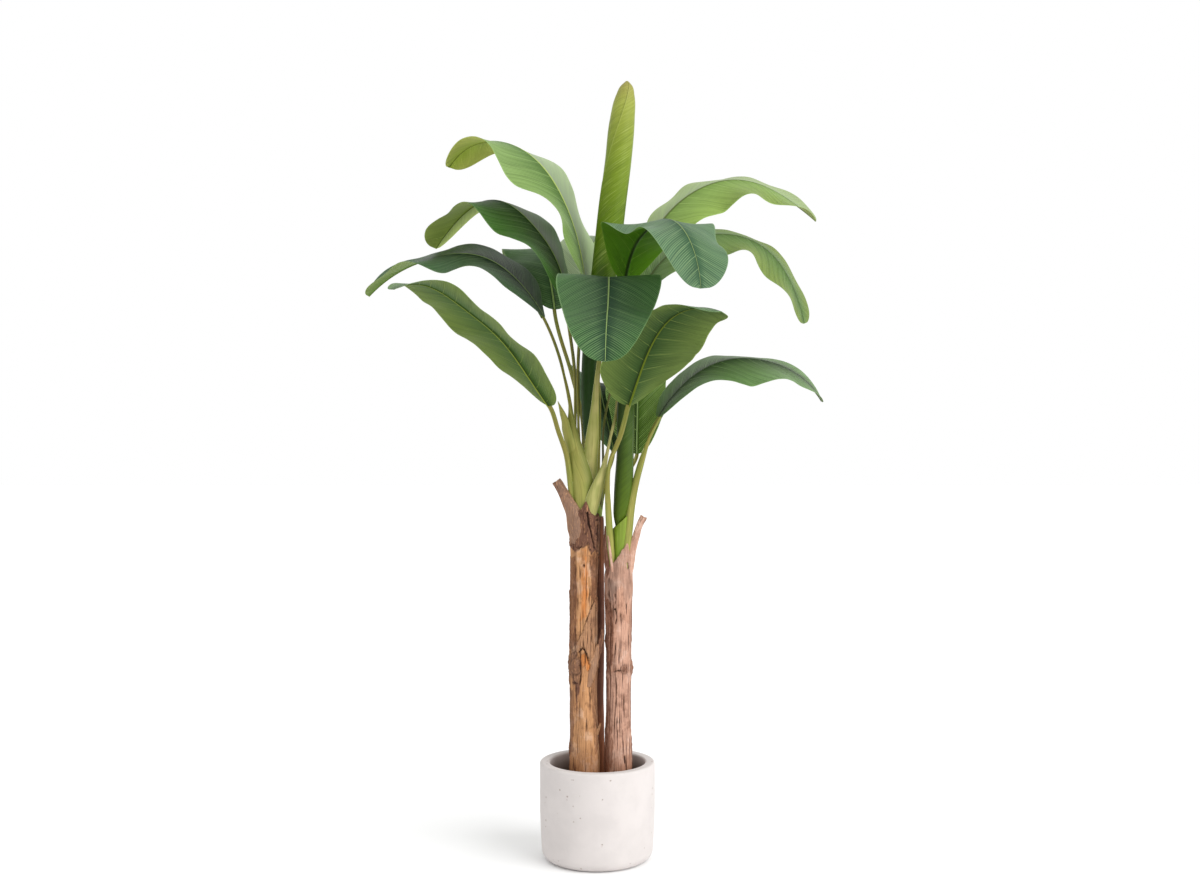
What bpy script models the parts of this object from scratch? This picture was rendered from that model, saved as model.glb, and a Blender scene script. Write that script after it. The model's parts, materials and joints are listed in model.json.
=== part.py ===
"""Potted banana plant: three trunks in a round cement pot, fourteen arching leaves and two rolled ones.

Metres, +Z up. The origin is the centre of the pot's foot, and the plant's front faces -Y.
Compass angles are in degrees from +X towards +Y, and a climb is the slope above the horizontal.
"""
import math

import bmesh
import bpy
import numpy as np
from mathutils import Matrix

# Driving dimensions of the pot
POT_HEIGHT = 0.224
POT_RADIUS = 0.133
POT_FOOT_RADIUS = 0.1285
POT_BORE = 0.110
POT_FLOOR = 0.015
RIM_ROUND = 0.005
FOOT_ROUND = 0.024
POT_SIDES = 40

# Soil and the gap between touching pieces
GAP = 0.0003
SOIL_TOP = 0.163
SOIL_DOME = 0.008
HOLE_FLOOR = 0.050
HOLE_SLACK = 0.0006

# Leaf blades
LEAF_HALF_WIDTH = 0.100
BLADE_END = 0.004
RIB_THICKNESS = 0.006
MARGIN_THICKNESS = 0.0012
WIDEST_AT = 0.40
BASE_FULLNESS = 0.45
TIP_FULLNESS = 0.42
BLADE_ROWS = 14
BLADE_COLUMNS = (-1.0, -0.64, -0.28, 0.0, 0.28, 0.64, 1.0)
RIB_SAMPLES = 201

# Stalks
STALK_TIP_RADIUS = 0.0045
SHEATH_TAPER = 1.5
STALK_STEPS = 9
STALK_LEAD = 0.012

# Each trunk: axis, radius, heights of the socket floor and of the collar's rim, and the rim's slant
TRUNKS = {
    "left": dict(axis=(-0.031, 0.0), radius=0.0325, bore=0.0275, floor=0.790, rim=0.806, slant=0.004,
                 slant_to=-90, sides=16, roughness=1.0, knots=((270, 0.44, 0.0030), (250, 0.68, -0.0025))),
    "right": dict(axis=(0.049, 0.0), radius=0.0300, bore=0.0255, floor=0.652, rim=0.684, slant=0.022,
                  slant_to=-8, sides=16, roughness=1.0, knots=((270, 0.575, 0.0025), (330, 0.43, 0.0035))),
    "back": dict(axis=(-0.002, 0.070), radius=0.0175, bore=0.0140, floor=0.768, rim=0.784, slant=0.005,
                 slant_to=-60, sides=12, roughness=0.6, knots=((200, 0.60, 0.0012),)),
}
TRUNK_RINGS = 15

# Dried leaf bases that stand off the collars: points of the path, half widths and half thicknesses
DRIED_BASES = {
    "left": dict(path=((-0.055, -0.002, 0.730), (-0.062, -0.003, 0.785), (-0.077, -0.004, 0.835), (-0.092, -0.005, 0.868)),
                 width=(0.014, 0.013, 0.010, 0.005), thickness=(0.006, 0.005, 0.004, 0.0025), out=180),
    "right": dict(path=((0.068, 0.0, 0.630), (0.079, -0.001, 0.700), (0.096, -0.003, 0.752), (0.109, -0.004, 0.786)),
                  width=(0.013, 0.012, 0.009, 0.004), thickness=(0.006, 0.005, 0.004, 0.0025), out=0),
}

# Green hearts of the crowns: radius and height of each ring above the socket
HEARTS = {
    "left": ((0.0268, 0.835), (0.0200, 0.880), (0.0080, 0.9554)),
    "right": ((0.0248, 0.705), (0.0180, 0.735), (0.0060, 0.7624)),
    "back": ((0.0133, 0.805), (0.0060, 0.845)),
}

# Rolled leaves: centre line, radius at each point, the seam's compass angle at the foot and at the tip
ROLLS = {
    "rolled_leaf_tall": dict(
        path=((-0.0210, 0.0, 0.956), (-0.0160, 0.0, 0.975), (-0.0149, 0.0, 1.020), (-0.0149, 0.0, 1.160),
              (0.0060, 0.0, 1.290), (0.0246, 0.0, 1.420), (0.0362, 0.0, 1.524), (0.0480, 0.0, 1.617),
              (0.0570, 0.0, 1.710), (0.0640, 0.0, 1.766), (0.0674, 0.0, 1.790), (0.0686, 0.0, 1.800)),
        radius=(0.0060, 0.0150, 0.0200, 0.0205, 0.0270, 0.0315, 0.0325, 0.0320, 0.0300, 0.0225, 0.0130, 0.0040),
        seam=(200, 190, 180, 290)),
    "rolled_leaf_low": dict(
        path=((0.0478, -0.008, 0.763), (0.0520, -0.008, 0.790), (0.0570, -0.008, 0.830), (0.0640, -0.008, 0.940),
              (0.0650, -0.008, 1.056), (0.0660, -0.010, 1.110), (0.0670, -0.012, 1.160)),
        radius=(0.0050, 0.0150, 0.0200, 0.0200, 0.0190, 0.0130, 0.0030),
        seam=(0, 20, 40, 60)),
}
ROLL_SIDES = 14
ROLL_STEP = 0.05
ROLL_RINGS = 19

# Each leaf: the trunk it grows from, the stalk's points below the blade, the stalk's foot radius, the blade's
# base, its length, the heading and the climb along it, its roll, how far each half folds up (base, middle, tip),
# and the waves of its edges: height left and right, number of waves, and where each side's waves start.
LEAVES = {
    "leaf_left_top": dict(
        trunk="left", stalk=((-0.034, 0.012, 0.845), (-0.0445, 0.010, 0.990), (-0.0405, 0.014, 1.198)), foot=0.008,
        base=(-0.027, 0.022, 1.295), length=0.63, heading=(158, 164, 151), climb=(87, 74, 54, 12, -53),
        roll=(8, -9, -9), fold_left=(20, -25, 5), fold_right=(12, -3, 20), wave=(0.018, 0.010), waves=2.2,
        start=(0.46, 0.02)),
    "leaf_left_upper": dict(
        trunk="left", stalk=((-0.038, 0.016, 0.840), (-0.050, 0.030, 1.000), (-0.0512, 0.028, 1.113)), foot=0.008,
        base=(-0.073, 0.021, 1.295), length=0.57, heading=(154, 148, 140), climb=(85, 55, 32, -26, -46),
        roll=(0, -6, -3), fold_left=(0, -20, 15), fold_right=(10, -7, 20), wave=(0.015, 0.005), waves=2.5,
        start=(0.75, 0.30)),
    "leaf_left_middle": dict(
        trunk="left", stalk=((-0.044, -0.004, 0.824), (-0.0404, -0.004, 0.898), (-0.052, 0.0, 0.950),
                             (-0.0566, 0.004, 1.026)), foot=0.020,
        base=(-0.125, 0.022, 1.255), length=0.57, heading=(166, 152, 164), climb=(61, 39, 4, -18, -45),
        roll=(0, -12, -12), fold_left=(0, -15, 15), fold_right=(0, 4, 30), wave=(0.014, 0.009), waves=2.6,
        start=(0.47, 0.78)),
    "leaf_left_lower": dict(
        trunk="left", stalk=((-0.050, -0.012, 0.830), (-0.070, -0.018, 0.898), (-0.0974, -0.032, 0.967)), foot=0.009,
        base=(-0.108, -0.045, 1.045), length=0.52, heading=(218, 225, 223), climb=(49, 47, 29, 21, -28),
        roll=(-3, -4, 0), fold_left=(0, -15, 5), fold_right=(5, -10, 5), wave=(0.003, 0.005), waves=3.7,
        start=(0.14, 0.92)),
    "leaf_left_rear": dict(
        trunk="left", stalk=((-0.038, 0.014, 0.835), (-0.0504, 0.045, 1.033), (-0.066, 0.070, 1.120)), foot=0.009,
        base=(-0.104, 0.120, 1.283), length=0.40, heading=(116, 108, 108), climb=(77, 50, 8, -35, -50),
        roll=(0, 0, 0), fold_left=(3, 0, 0), fold_right=(5, -5, 0), wave=(0.006, 0.006), waves=3.2,
        start=(0.40, 0.90), half=0.090),
    "leaf_front_middle": dict(
        trunk="left", stalk=((-0.021, -0.014, 0.834), (-0.0147, -0.035, 0.933), (-0.0111, -0.054, 1.011),
                             (-0.0031, -0.074, 1.0785)), foot=0.018,
        base=(0.0105, -0.090, 1.181), length=0.52, heading=(-77, -91, -93), climb=(69, 43, -36, -34, -70),
        roll=(0, 0, 0), fold_left=(20, 1, 10), fold_right=(20, 3, 11), wave=(0.006, 0.006), waves=2.7,
        start=(0.90, 0.85), half=0.110),
    "leaf_right_upper": dict(
        trunk="left", stalk=((-0.014, -0.004, 0.830), (0.0142, 0.002, 0.914), (0.0258, 0.012, 0.970),
                             (0.0434, 0.032, 1.056), (0.070, 0.050, 1.170)), foot=0.011,
        base=(0.105, 0.055, 1.317), length=0.59, heading=(45, 0, 7), climb=(58, 36, -8, -56, -79),
        roll=(7, 12, 20), fold_left=(8, 3, 20), fold_right=(3, -16, -13), wave=(-0.005, 0.016), waves=3.5,
        start=(0.25, 0.17)),
    "leaf_front_lower": dict(
        trunk="right", stalk=((0.038, -0.012, 0.712), (0.021, -0.030, 0.784), (0.022, -0.036, 0.830),
                              (0.0243, -0.044, 0.899), (0.0445, -0.064, 0.958), (0.060, -0.077, 0.992)), foot=0.009,
        base=(0.069, -0.085, 1.044), length=0.40, heading=(-51, -50, -42), climb=(62, 60, 44, 2, -30),
        roll=(-5, -11, 0), fold_left=(16, -22, -2), fold_right=(24, -6, -5), wave=(0.006, 0.007), waves=2.8,
        start=(0.14, 0.85), half=0.105),
    "leaf_right_lower": dict(
        trunk="right", stalk=((0.060, 0.004, 0.712), (0.080, 0.006, 0.782), (0.090, 0.006, 0.828),
                              (0.1127, 0.0, 0.9235)), foot=0.010,
        base=(0.143, 0.004, 1.021), length=0.56, heading=(22, 32, 26), climb=(59, 33, 4, -19, -55),
        roll=(-4, 14, 19), fold_left=(0, -9, 20), fold_right=(3, -25, -7), wave=(0.004, 0.009), waves=2.5,
        start=(0.0, 0.70)),
    "leaf_front_upper": dict(
        trunk="right", stalk=((0.049, 0.014, 0.712), (0.062, 0.028, 0.800), (0.066, 0.028, 0.950),
                              (0.068, 0.022, 1.150)), foot=0.009,
        base=(0.063, -0.050, 1.328), length=0.56, heading=(-76, -71, -65), climb=(61, 17, -2, -40, -82),
        roll=(-16, 0, 0), fold_left=(27, -7, 5), fold_right=(35, -14, 3), wave=(0.015, 0.013), waves=2.7,
        start=(0.73, 0.19)),
    "leaf_rear_lower_right": dict(
        trunk="right", stalk=((0.056, 0.012, 0.712), (0.072, 0.038, 0.800)), foot=0.009,
        base=(0.0945, 0.090, 0.935), length=0.42, heading=(84, 90, 95), climb=(82, 62, 30, 0, -45),
        roll=(-5, -5, 0), fold_left=(8, 5, 5), fold_right=(20, 15, 8), wave=(0.006, 0.006), waves=3.2,
        start=(0.0, 0.50), half=0.075),
    "leaf_right_top": dict(
        trunk="back", stalk=((0.002, 0.068, 0.800), (0.0131, 0.066, 0.900), (0.0135, 0.068, 0.990),
                             (0.0345, 0.094, 1.110)), foot=0.007,
        base=(0.1046, 0.212, 1.410), length=0.61, heading=(30, 18, 7), climb=(67, 47, 19, -22, -42),
        roll=(0, 14, 17), fold_left=(-5, -3, 20), fold_right=(10, -28, -5), wave=(0.005, 0.014), waves=4.8,
        start=(0.0, 0.30)),
    "leaf_rear": dict(
        trunk="back", stalk=((-0.004, 0.072, 0.800), (0.0013, 0.076, 0.904), (0.0036, 0.100, 1.077)), foot=0.007,
        base=(-0.014, 0.250, 1.270), length=0.50, heading=(84, 78, 76), climb=(78, 50, 12, -30, -70),
        roll=(0, 0, 0), fold_left=(8, 5, 5), fold_right=(8, 5, 5), wave=(0.006, 0.006), waves=2.6,
        start=(0.35, 0.90), half=0.085),
    "leaf_rear_lower_left": dict(
        trunk="back", stalk=((0.001, 0.077, 0.800), (0.018, 0.102, 0.870)), foot=0.007,
        base=(0.040, 0.125, 0.939), length=0.44, heading=(112, 85, 80), climb=(62, 40, 10, -40, -75),
        roll=(10, 20, 10), fold_left=(15, 10, 5), fold_right=(15, 5, 5), wave=(0.006, 0.006), waves=3.2,
        start=(0.60, 0.20), half=0.075),
}

# Colours as sRGB triples
CEMENT = (0.890, 0.862, 0.851)
EARTH = (0.170, 0.120, 0.085)
BARK = (0.720, 0.520, 0.350)
DARK_BARK = (0.340, 0.220, 0.190)
SHEATH = (0.660, 0.670, 0.350)
YOUNG_GREEN = (0.540, 0.650, 0.230)
DEEP_GREEN = (0.190, 0.330, 0.170)
LEAF_GREENS = {
    "fresh": (0.550, 0.710, 0.400),
    "dark": (0.250, 0.390, 0.260),
    "blue": (0.360, 0.500, 0.415),
    "olive": (0.540, 0.615, 0.360),
}
LEAF_TINTS = {
    "leaf_left_top": "fresh", "leaf_right_top": "fresh", "leaf_rear": "fresh",
    "leaf_left_upper": "dark", "leaf_left_rear": "dark", "leaf_front_middle": "dark",
    "leaf_left_middle": "blue", "leaf_front_upper": "blue", "leaf_right_upper": "blue", "leaf_right_lower": "blue",
    "leaf_left_lower": "olive", "leaf_front_lower": "olive", "leaf_rear_lower_left": "dark",
    "leaf_rear_lower_right": "dark",
}


def clear_scene():
    """Removes every object the file starts with."""
    for thing in list(bpy.data.objects):
        bpy.data.objects.remove(thing, do_unlink=True)


def new_collection(name):
    """Makes a collection of the scene."""
    collection = bpy.data.collections.new(name)
    bpy.context.scene.collection.children.link(collection)
    return collection


def linear(channel):
    """Turns one sRGB channel into linear light."""
    return channel / 12.92 if channel <= 0.04045 else ((channel + 0.055) / 1.055) ** 2.4


def surface(name, colour, roughness):
    """Makes a Principled material from an sRGB colour."""
    material = bpy.data.materials.new(name)
    material.use_nodes = True
    shader = material.node_tree.nodes["Principled BSDF"]
    shader.inputs["Base Color"].default_value = (*(linear(channel) for channel in colour), 1.0)
    shader.inputs["Roughness"].default_value = roughness
    shader.inputs["Metallic"].default_value = 0.0
    return material


def add_object(name, mesh, collection, material=None):
    """Puts a mesh into the scene as a smooth-shaded object."""
    thing = bpy.data.objects.new(name, mesh)
    collection.objects.link(thing)
    if material:
        mesh.materials.append(material)
    mesh.shade_smooth()
    mesh.set_sharp_from_angle(angle=math.radians(40))
    return thing


def add_cutter(name, mesh, collection):
    """Puts a mesh into the scene as a hidden tool for a Boolean."""
    cutter = bpy.data.objects.new(name, mesh)
    collection.objects.link(cutter)
    cutter.hide_render = True
    cutter.display_type = "WIRE"
    return cutter


def boolean(thing, tool, operation):
    """Adds one Boolean modifier."""
    modifier = thing.modifiers.new(operation.lower(), "BOOLEAN")
    modifier.operation = operation
    modifier.object = tool
    modifier.solver = "EXACT"


def finished_mesh(thing):
    """Returns the evaluated mesh of an object, with its doubled vertices welded."""
    bpy.context.view_layer.update()
    evaluated = thing.evaluated_get(bpy.context.evaluated_depsgraph_get())
    mesh = bpy.data.meshes.new_from_object(evaluated)
    work = bmesh.new()
    work.from_mesh(mesh)
    bmesh.ops.remove_doubles(work, verts=work.verts, dist=0.00001)
    bmesh.ops.triangulate(work, faces=work.faces)
    work.to_mesh(mesh)
    work.free()
    return mesh


def turned(name, profile, sides, collection, material):
    """Turns a closed or axis-to-axis profile of (radius, height) points, outer side first and downwards."""
    mesh = bpy.data.meshes.new(name)
    edges = [(i, i + 1) for i in range(len(profile) - 1)]
    mesh.from_pydata([(radius, 0.0, height) for radius, height in profile], edges, [])
    thing = add_object(name, mesh, collection, material)
    screw = thing.modifiers.new("turn", "SCREW")
    screw.steps = sides
    screw.render_steps = sides
    screw.use_merge_vertices = True
    screw.merge_threshold = 0.00001
    screw.use_smooth_shade = True
    return thing


def arc(centre, radius, first, last, steps):
    """Points of an arc in the (radius, height) plane, angles in degrees."""
    angles = np.radians(np.linspace(first, last, steps + 1))
    return [(centre[0] + radius * math.cos(a), centre[1] + radius * math.sin(a)) for a in angles]


def build_pot(collection, material):
    """The pot: rounded rim, upright wall, rounded foot and a flat floor inside."""
    taper_top = POT_HEIGHT * 0.58
    rim = arc((POT_RADIUS - RIM_ROUND, POT_HEIGHT - RIM_ROUND), RIM_ROUND, 90, 0, 3)
    foot = arc((POT_FOOT_RADIUS - FOOT_ROUND, FOOT_ROUND), FOOT_ROUND, 0, -90, 5)
    profile = rim + [(POT_RADIUS, taper_top)] + foot + [(0.0, 0.0)]
    inner = [(0.0, POT_FLOOR), (POT_BORE, POT_FLOOR)]
    inner += arc((POT_BORE + RIM_ROUND, POT_HEIGHT - RIM_ROUND), RIM_ROUND, 180, 90, 2)
    return turned("pot", profile + inner + rim[:1], POT_SIDES, collection, material)


def smooth_between(values, shares):
    """Eases from one value to the next at even stations."""
    values = np.asarray(values, float)
    spot = shares * (len(values) - 1)
    index = np.clip(spot.astype(int), 0, len(values) - 2)
    ease = spot - index
    ease = ease * ease * (3 - 2 * ease)
    return values[index] * (1 - ease) + values[index + 1] * ease


def curve_through(values, shares):
    """Smooth curve through values at even stations, with slopes taken from the neighbours."""
    values = np.asarray(values, float)
    slopes = np.gradient(values, axis=0)
    spot = shares * (len(values) - 1)
    index = np.clip(spot.astype(int), 0, len(values) - 2)
    t = spot - index
    if values.ndim > 1:
        t = t[:, None]
    start = (2 * t**3 - 3 * t**2 + 1) * values[index] + (t**3 - 2 * t**2 + t) * slopes[index]
    return start + (3 * t**2 - 2 * t**3) * values[index + 1] + (t**3 - t**2) * slopes[index + 1]


def heading_and_climb(leaf, shares):
    """Unit vector along the midrib, its level sideways vector to the left, and the upper side's normal."""
    heading = np.radians(curve_through(leaf["heading"], shares))
    climb = np.radians(curve_through(leaf["climb"], shares))
    along = np.stack([np.cos(climb) * np.cos(heading), np.cos(climb) * np.sin(heading), np.sin(climb)], 1)
    left = np.stack([-np.sin(heading), np.cos(heading), np.zeros_like(heading)], 1)
    return along, left, np.cross(along, left)


def midrib(leaf):
    """Points of the midrib at even steps, from its directions added up."""
    shares = np.linspace(0, 1, RIB_SAMPLES)
    along = heading_and_climb(leaf, shares)[0]
    steps = (along[1:] + along[:-1]) / 2 * leaf["length"] / (RIB_SAMPLES - 1)
    return np.vstack([np.zeros(3), np.cumsum(steps, axis=0)]) + np.array(leaf["base"])


def width_share(shares):
    """Half width of the blade along it, as a share of the widest: full near the base, rounded at the tip."""
    rise = np.sin(np.clip(shares / WIDEST_AT, 0, 1) * np.pi / 2) ** BASE_FULLNESS
    fall = np.sin(np.clip((1 - shares) / (1 - WIDEST_AT), 0, 1) * np.pi / 2) ** TIP_FULLNESS
    return np.where(shares < WIDEST_AT, rise, fall)


def blade_point(leaf, shares, across):
    """Points of the leaf's surface. shares runs 0 to 1 along the midrib, across -1 to 1 from right to left.

    The sideways and normal vectors turn by the roll about the midrib. Each half leaves the rib at its fold angle,
    and its edge waves grow with the square of the distance from the rib.
    """
    rib = midrib(leaf)
    spots = np.linspace(0, 1, RIB_SAMPLES)
    centre = np.stack([np.interp(shares, spots, rib[:, k]) for k in range(3)], 1)
    along, left, normal = heading_and_climb(leaf, shares)
    roll = np.radians(smooth_between(leaf["roll"], shares))[:, None]
    left, normal = left * np.cos(roll) + normal * np.sin(roll), normal * np.cos(roll) - left * np.sin(roll)
    side = np.where(across < 0, -1.0, 1.0)
    folds = np.where(side > 0, smooth_between(leaf["fold_left"], shares), smooth_between(leaf["fold_right"], shares))
    fold = np.radians(folds)
    half = np.maximum(leaf.get("half", LEAF_HALF_WIDTH) * width_share(shares), BLADE_END)
    reach = np.abs(across)
    height = np.where(side > 0, leaf["wave"][0], leaf["wave"][1])
    start = np.where(side > 0, leaf["start"][0], leaf["start"][1])
    swell = np.sqrt(np.clip(np.sin(np.pi * shares), 0, 1))
    wave = height * swell * np.sin(2 * np.pi * (leaf["waves"] * shares + start)) * reach**2
    out = side * (half * reach * np.cos(fold) + 0.5 * wave)
    up = half * reach * np.sin(fold) + wave
    return centre + out[:, None] * left + up[:, None] * normal


def build_leaf(name, leaf, collection, material):
    """One blade: a grid bent by the leaf's formula, thick along the midrib and thin at the edges."""
    columns = np.array(BLADE_COLUMNS)
    grid = bmesh.new()
    bmesh.ops.create_grid(grid, x_segments=BLADE_ROWS, y_segments=len(columns) - 1, size=0.5)
    flat = np.array([vertex.co[:2] for vertex in grid.verts]) + 0.5
    even = np.clip(flat[:, 0], 0, 1)
    shares = 0.6 * even + 0.4 * (1 - np.cos(np.pi * even)) / 2
    across = columns[np.rint(flat[:, 1] * (len(columns) - 1)).astype(int)]
    for vertex, point in zip(grid.verts, blade_point(leaf, shares, across)):
        vertex.co = point
    bmesh.ops.triangulate(grid, faces=grid.faces, quad_method="FIXED")
    mesh = bpy.data.meshes.new(name)
    grid.to_mesh(mesh)
    grid.free()
    thing = add_object(name, mesh, collection, material)
    group = thing.vertex_groups.new(name="rib")
    for index, place in enumerate(across):
        group.add([index], 1.0 if place == 0 else 0.0, "REPLACE")
    solid = thing.modifiers.new("thickness", "SOLIDIFY")
    solid.thickness = RIB_THICKNESS
    solid.offset = 0.0
    solid.vertex_group = "rib"
    solid.thickness_vertex_group = MARGIN_THICKNESS / RIB_THICKNESS
    return thing


def stalk_path(leaf):
    """Centre line of a stalk: smooth through its points, and straight for the last stretch below the blade."""
    along = heading_and_climb(leaf, np.array([0.0]))[0][0]
    end = np.array(leaf["base"]) - along * 2 * GAP
    points = np.array([*leaf["stalk"], end - along * STALK_LEAD])
    lengths = np.concatenate([[0], np.cumsum(np.linalg.norm(np.diff(points, axis=0), axis=1))])
    slopes = np.gradient(points, lengths, axis=0)
    slopes[-1] = along
    spots = np.linspace(0, lengths[-1], STALK_STEPS)
    index = np.clip(np.searchsorted(lengths, spots, side="right") - 1, 0, len(points) - 2)
    step = (lengths[index + 1] - lengths[index])[:, None]
    t = (spots - lengths[index])[:, None] / step
    start = (2 * t**3 - 3 * t**2 + 1) * points[index] + (t**3 - 2 * t**2 + t) * step * slopes[index]
    path = start + (3 * t**2 - 2 * t**3) * points[index + 1] + (t**3 - t**2) * step * slopes[index + 1]
    return np.vstack([path, end])


def build_stalk(name, leaf, collection):
    """One stalk as a tapering tube, made a mesh so that it can be joined to its crown."""
    path = stalk_path(leaf)
    left_over = 1 - np.linspace(0, 1, len(path))
    radii = STALK_TIP_RADIUS + (leaf["foot"] - STALK_TIP_RADIUS) * left_over**SHEATH_TAPER
    data = bpy.data.curves.new(name, "CURVE")
    data.dimensions = "3D"
    data.bevel_depth = 1.0
    data.bevel_resolution = 2
    data.use_fill_caps = True
    spline = data.splines.new("POLY")
    spline.points.add(len(path) - 1)
    for point, place, radius in zip(spline.points, path, radii):
        point.co = (*place, 1.0)
        point.radius = float(radius)
    tube = bpy.data.objects.new(name, data)
    collection.objects.link(tube)
    mesh = finished_mesh(tube)
    bpy.data.objects.remove(tube)
    bpy.data.curves.remove(data)
    return add_cutter(name, mesh, collection)


def build_crown(side, collection, tools, material):
    """The heart of a crown in its trunk's socket, joined with all the stalks that grow from it."""
    trunk = TRUNKS[side]
    floor = trunk["floor"] + GAP
    rings = HEARTS[side]
    profile = [(0.0, rings[-1][1])] + [(radius, height) for radius, height in rings[::-1]]
    profile += [(rings[0][0], floor), (0.0, floor)]
    heart = turned("heart_" + side, profile, trunk["sides"], tools, None)
    core = finished_mesh(heart)
    core.transform(Matrix.Translation((*trunk["axis"], 0.0)))
    bpy.data.objects.remove(heart)
    crown = add_object("crown_" + side, core, collection, material)
    stalks = [build_stalk("stalk_" + name, leaf, tools) for name, leaf in LEAVES.items() if leaf["trunk"] == side]
    for stalk in stalks:
        boolean(crown, stalk, "UNION")
    joined = finished_mesh(crown)
    crown.modifiers.clear()
    crown.data = joined
    for stalk in stalks:
        bpy.data.objects.remove(stalk)
    return crown


def loft(name, rings):
    """A closed body through unlike rings of points, with a fan at each end."""
    rings = np.asarray(rings, float)
    count, sides = rings.shape[:2]
    points = [tuple(point) for point in rings.reshape(-1, 3)]
    points += [tuple(rings[0].mean(0)), tuple(rings[-1].mean(0))]
    low, high = count * sides, count * sides + 1
    faces = []
    for ring in range(count - 1):
        for side in range(sides):
            here, there = ring * sides + side, ring * sides + (side + 1) % sides
            faces.append((here, there, there + sides, here + sides))
    top = (count - 1) * sides
    for side in range(sides):
        beside = (side + 1) % sides
        faces.append((low, beside, side))
        faces.append((high, top + side, top + beside))
    mesh = bpy.data.meshes.new(name)
    mesh.from_pydata(points, [], faces)
    return mesh


def trunk_rings(trunk):
    """Rings of a trunk: plain in the soil, then ridged bark with a few knots, and a slanting, ragged top."""
    plain_top = SOIL_TOP + 0.010
    angles = np.linspace(0, 2 * np.pi, trunk["sides"], endpoint=False)
    slant = trunk["slant"] * np.cos(angles - math.radians(trunk["slant_to"]))
    ragged = 0.002 * np.sin(4 * angles) + 0.0015 * np.sin(7 * angles + 1.0)
    top = trunk["rim"] + slant + ragged
    levels = [np.full(trunk["sides"], HOLE_FLOOR + GAP)]
    levels += [plain_top + (top - plain_top) * share for share in np.linspace(0, 1, TRUNK_RINGS)]
    rings = []
    for heights in levels:
        out_of_soil = np.clip((heights - plain_top) / 0.050, 0, 1)
        bark = 0.035 * np.sin(3 * angles + 14 * heights) + 0.025 * np.sin(5 * angles - 23 * heights + 1.0)
        radii = trunk["radius"] * (1 + trunk["roughness"] * bark * out_of_soil)
        for angle, height, bulge in trunk["knots"]:
            turn = np.cos(angles - math.radians(angle))
            radii += bulge * np.exp((turn - 1) * 4) * np.exp(-((heights - height) / 0.030) ** 2)
        x = trunk["axis"][0] + radii * np.cos(angles)
        y = trunk["axis"][1] + radii * np.sin(angles)
        rings.append(np.stack([x, y, heights], 1))
    return rings


def dried_base_rings(base, sides=8):
    """Rings of a dried leaf base: flat ovals along its path, broad sideways and thin outwards."""
    path = curve_through(base["path"], np.linspace(0, 1, 6))
    widths = curve_through(base["width"], np.linspace(0, 1, 6))
    thicknesses = curve_through(base["thickness"], np.linspace(0, 1, 6))
    out = math.radians(base["out"])
    outward = np.array([math.cos(out), math.sin(out), 0.0])
    directions = np.gradient(path, axis=0)
    angles = np.linspace(0, 2 * np.pi, sides, endpoint=False)
    rings = []
    for centre, along, width, thickness in zip(path, directions, widths, thicknesses):
        along = along / np.linalg.norm(along)
        across = np.cross(along, outward)
        across /= np.linalg.norm(across)
        away = np.cross(across, along)
        ring = centre + np.outer(np.cos(angles) * thickness, away) + np.outer(np.sin(angles) * width, across)
        rings.append(ring)
    return rings


def cylinder(name, centre, radius, low, high, sides, tools):
    """A plain upright cylinder to cut with."""
    work = bmesh.new()
    bmesh.ops.create_cone(work, cap_ends=True, segments=sides, radius1=radius, radius2=radius, depth=high - low)
    bmesh.ops.translate(work, verts=work.verts, vec=(centre[0], centre[1], (low + high) / 2))
    mesh = bpy.data.meshes.new(name)
    work.to_mesh(mesh)
    work.free()
    return add_cutter(name, mesh, tools)


def build_trunk(side, collection, tools, material):
    """A trunk with its dried leaf base joined on, and the socket for its crown."""
    trunk = TRUNKS[side]
    thing = add_object("trunk_" + side, loft("trunk_" + side, trunk_rings(trunk)), collection, material)
    if side in DRIED_BASES:
        husk = add_cutter("husk_" + side, loft("husk_" + side, dried_base_rings(DRIED_BASES[side])), tools)
        boolean(thing, husk, "UNION")
    socket = cylinder("socket_" + side, trunk["axis"], trunk["bore"], trunk["floor"], 0.95, 24, tools)
    boolean(thing, socket, "DIFFERENCE")
    return thing


def build_soil(collection, tools, material):
    """The soil between the pot's walls, with a plain hole for each trunk."""
    edge = POT_BORE - GAP
    profile = [(0.0, SOIL_TOP + SOIL_DOME), (edge * 0.45, SOIL_TOP + SOIL_DOME * 0.8), (edge, SOIL_TOP)]
    profile += [(edge, POT_FLOOR + GAP), (0.0, POT_FLOOR + GAP)]
    soil = turned("soil", profile, POT_SIDES, collection, material)
    for side, trunk in TRUNKS.items():
        radius = trunk["radius"] + HOLE_SLACK
        hole = cylinder("hole_" + side, trunk["axis"], radius, HOLE_FLOOR, SOIL_TOP + 0.05, 32, tools)
        boolean(soil, hole, "DIFFERENCE")
    return soil


def build_roll(name, roll, collection, material):
    """A leaf still rolled up: a bent, tapering body whose outside steps in along a spiral seam."""
    shares = np.linspace(0, 1, ROLL_RINGS)
    known = np.array(roll["path"])[:, 2]
    heights = np.interp(shares, np.linspace(0, 1, len(known)), known)
    seams = np.radians(smooth_between(roll["seam"], shares))
    turns = np.linspace(0, 1, ROLL_SIDES + 1)
    rings = []
    for height, seam in zip(heights, seams):
        x, y, radius = (np.interp(height, known, values) for values in
                        (np.array(roll["path"])[:, 0], np.array(roll["path"])[:, 1], roll["radius"]))
        radii = radius * (1 - ROLL_STEP * turns)
        angles = seam + 2 * np.pi * turns
        rings.append(np.stack([x + radii * np.cos(angles), y + radii * np.sin(angles), 0 * angles + height], 1))
    return add_object(name, loft(name, rings), collection, material)


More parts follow.
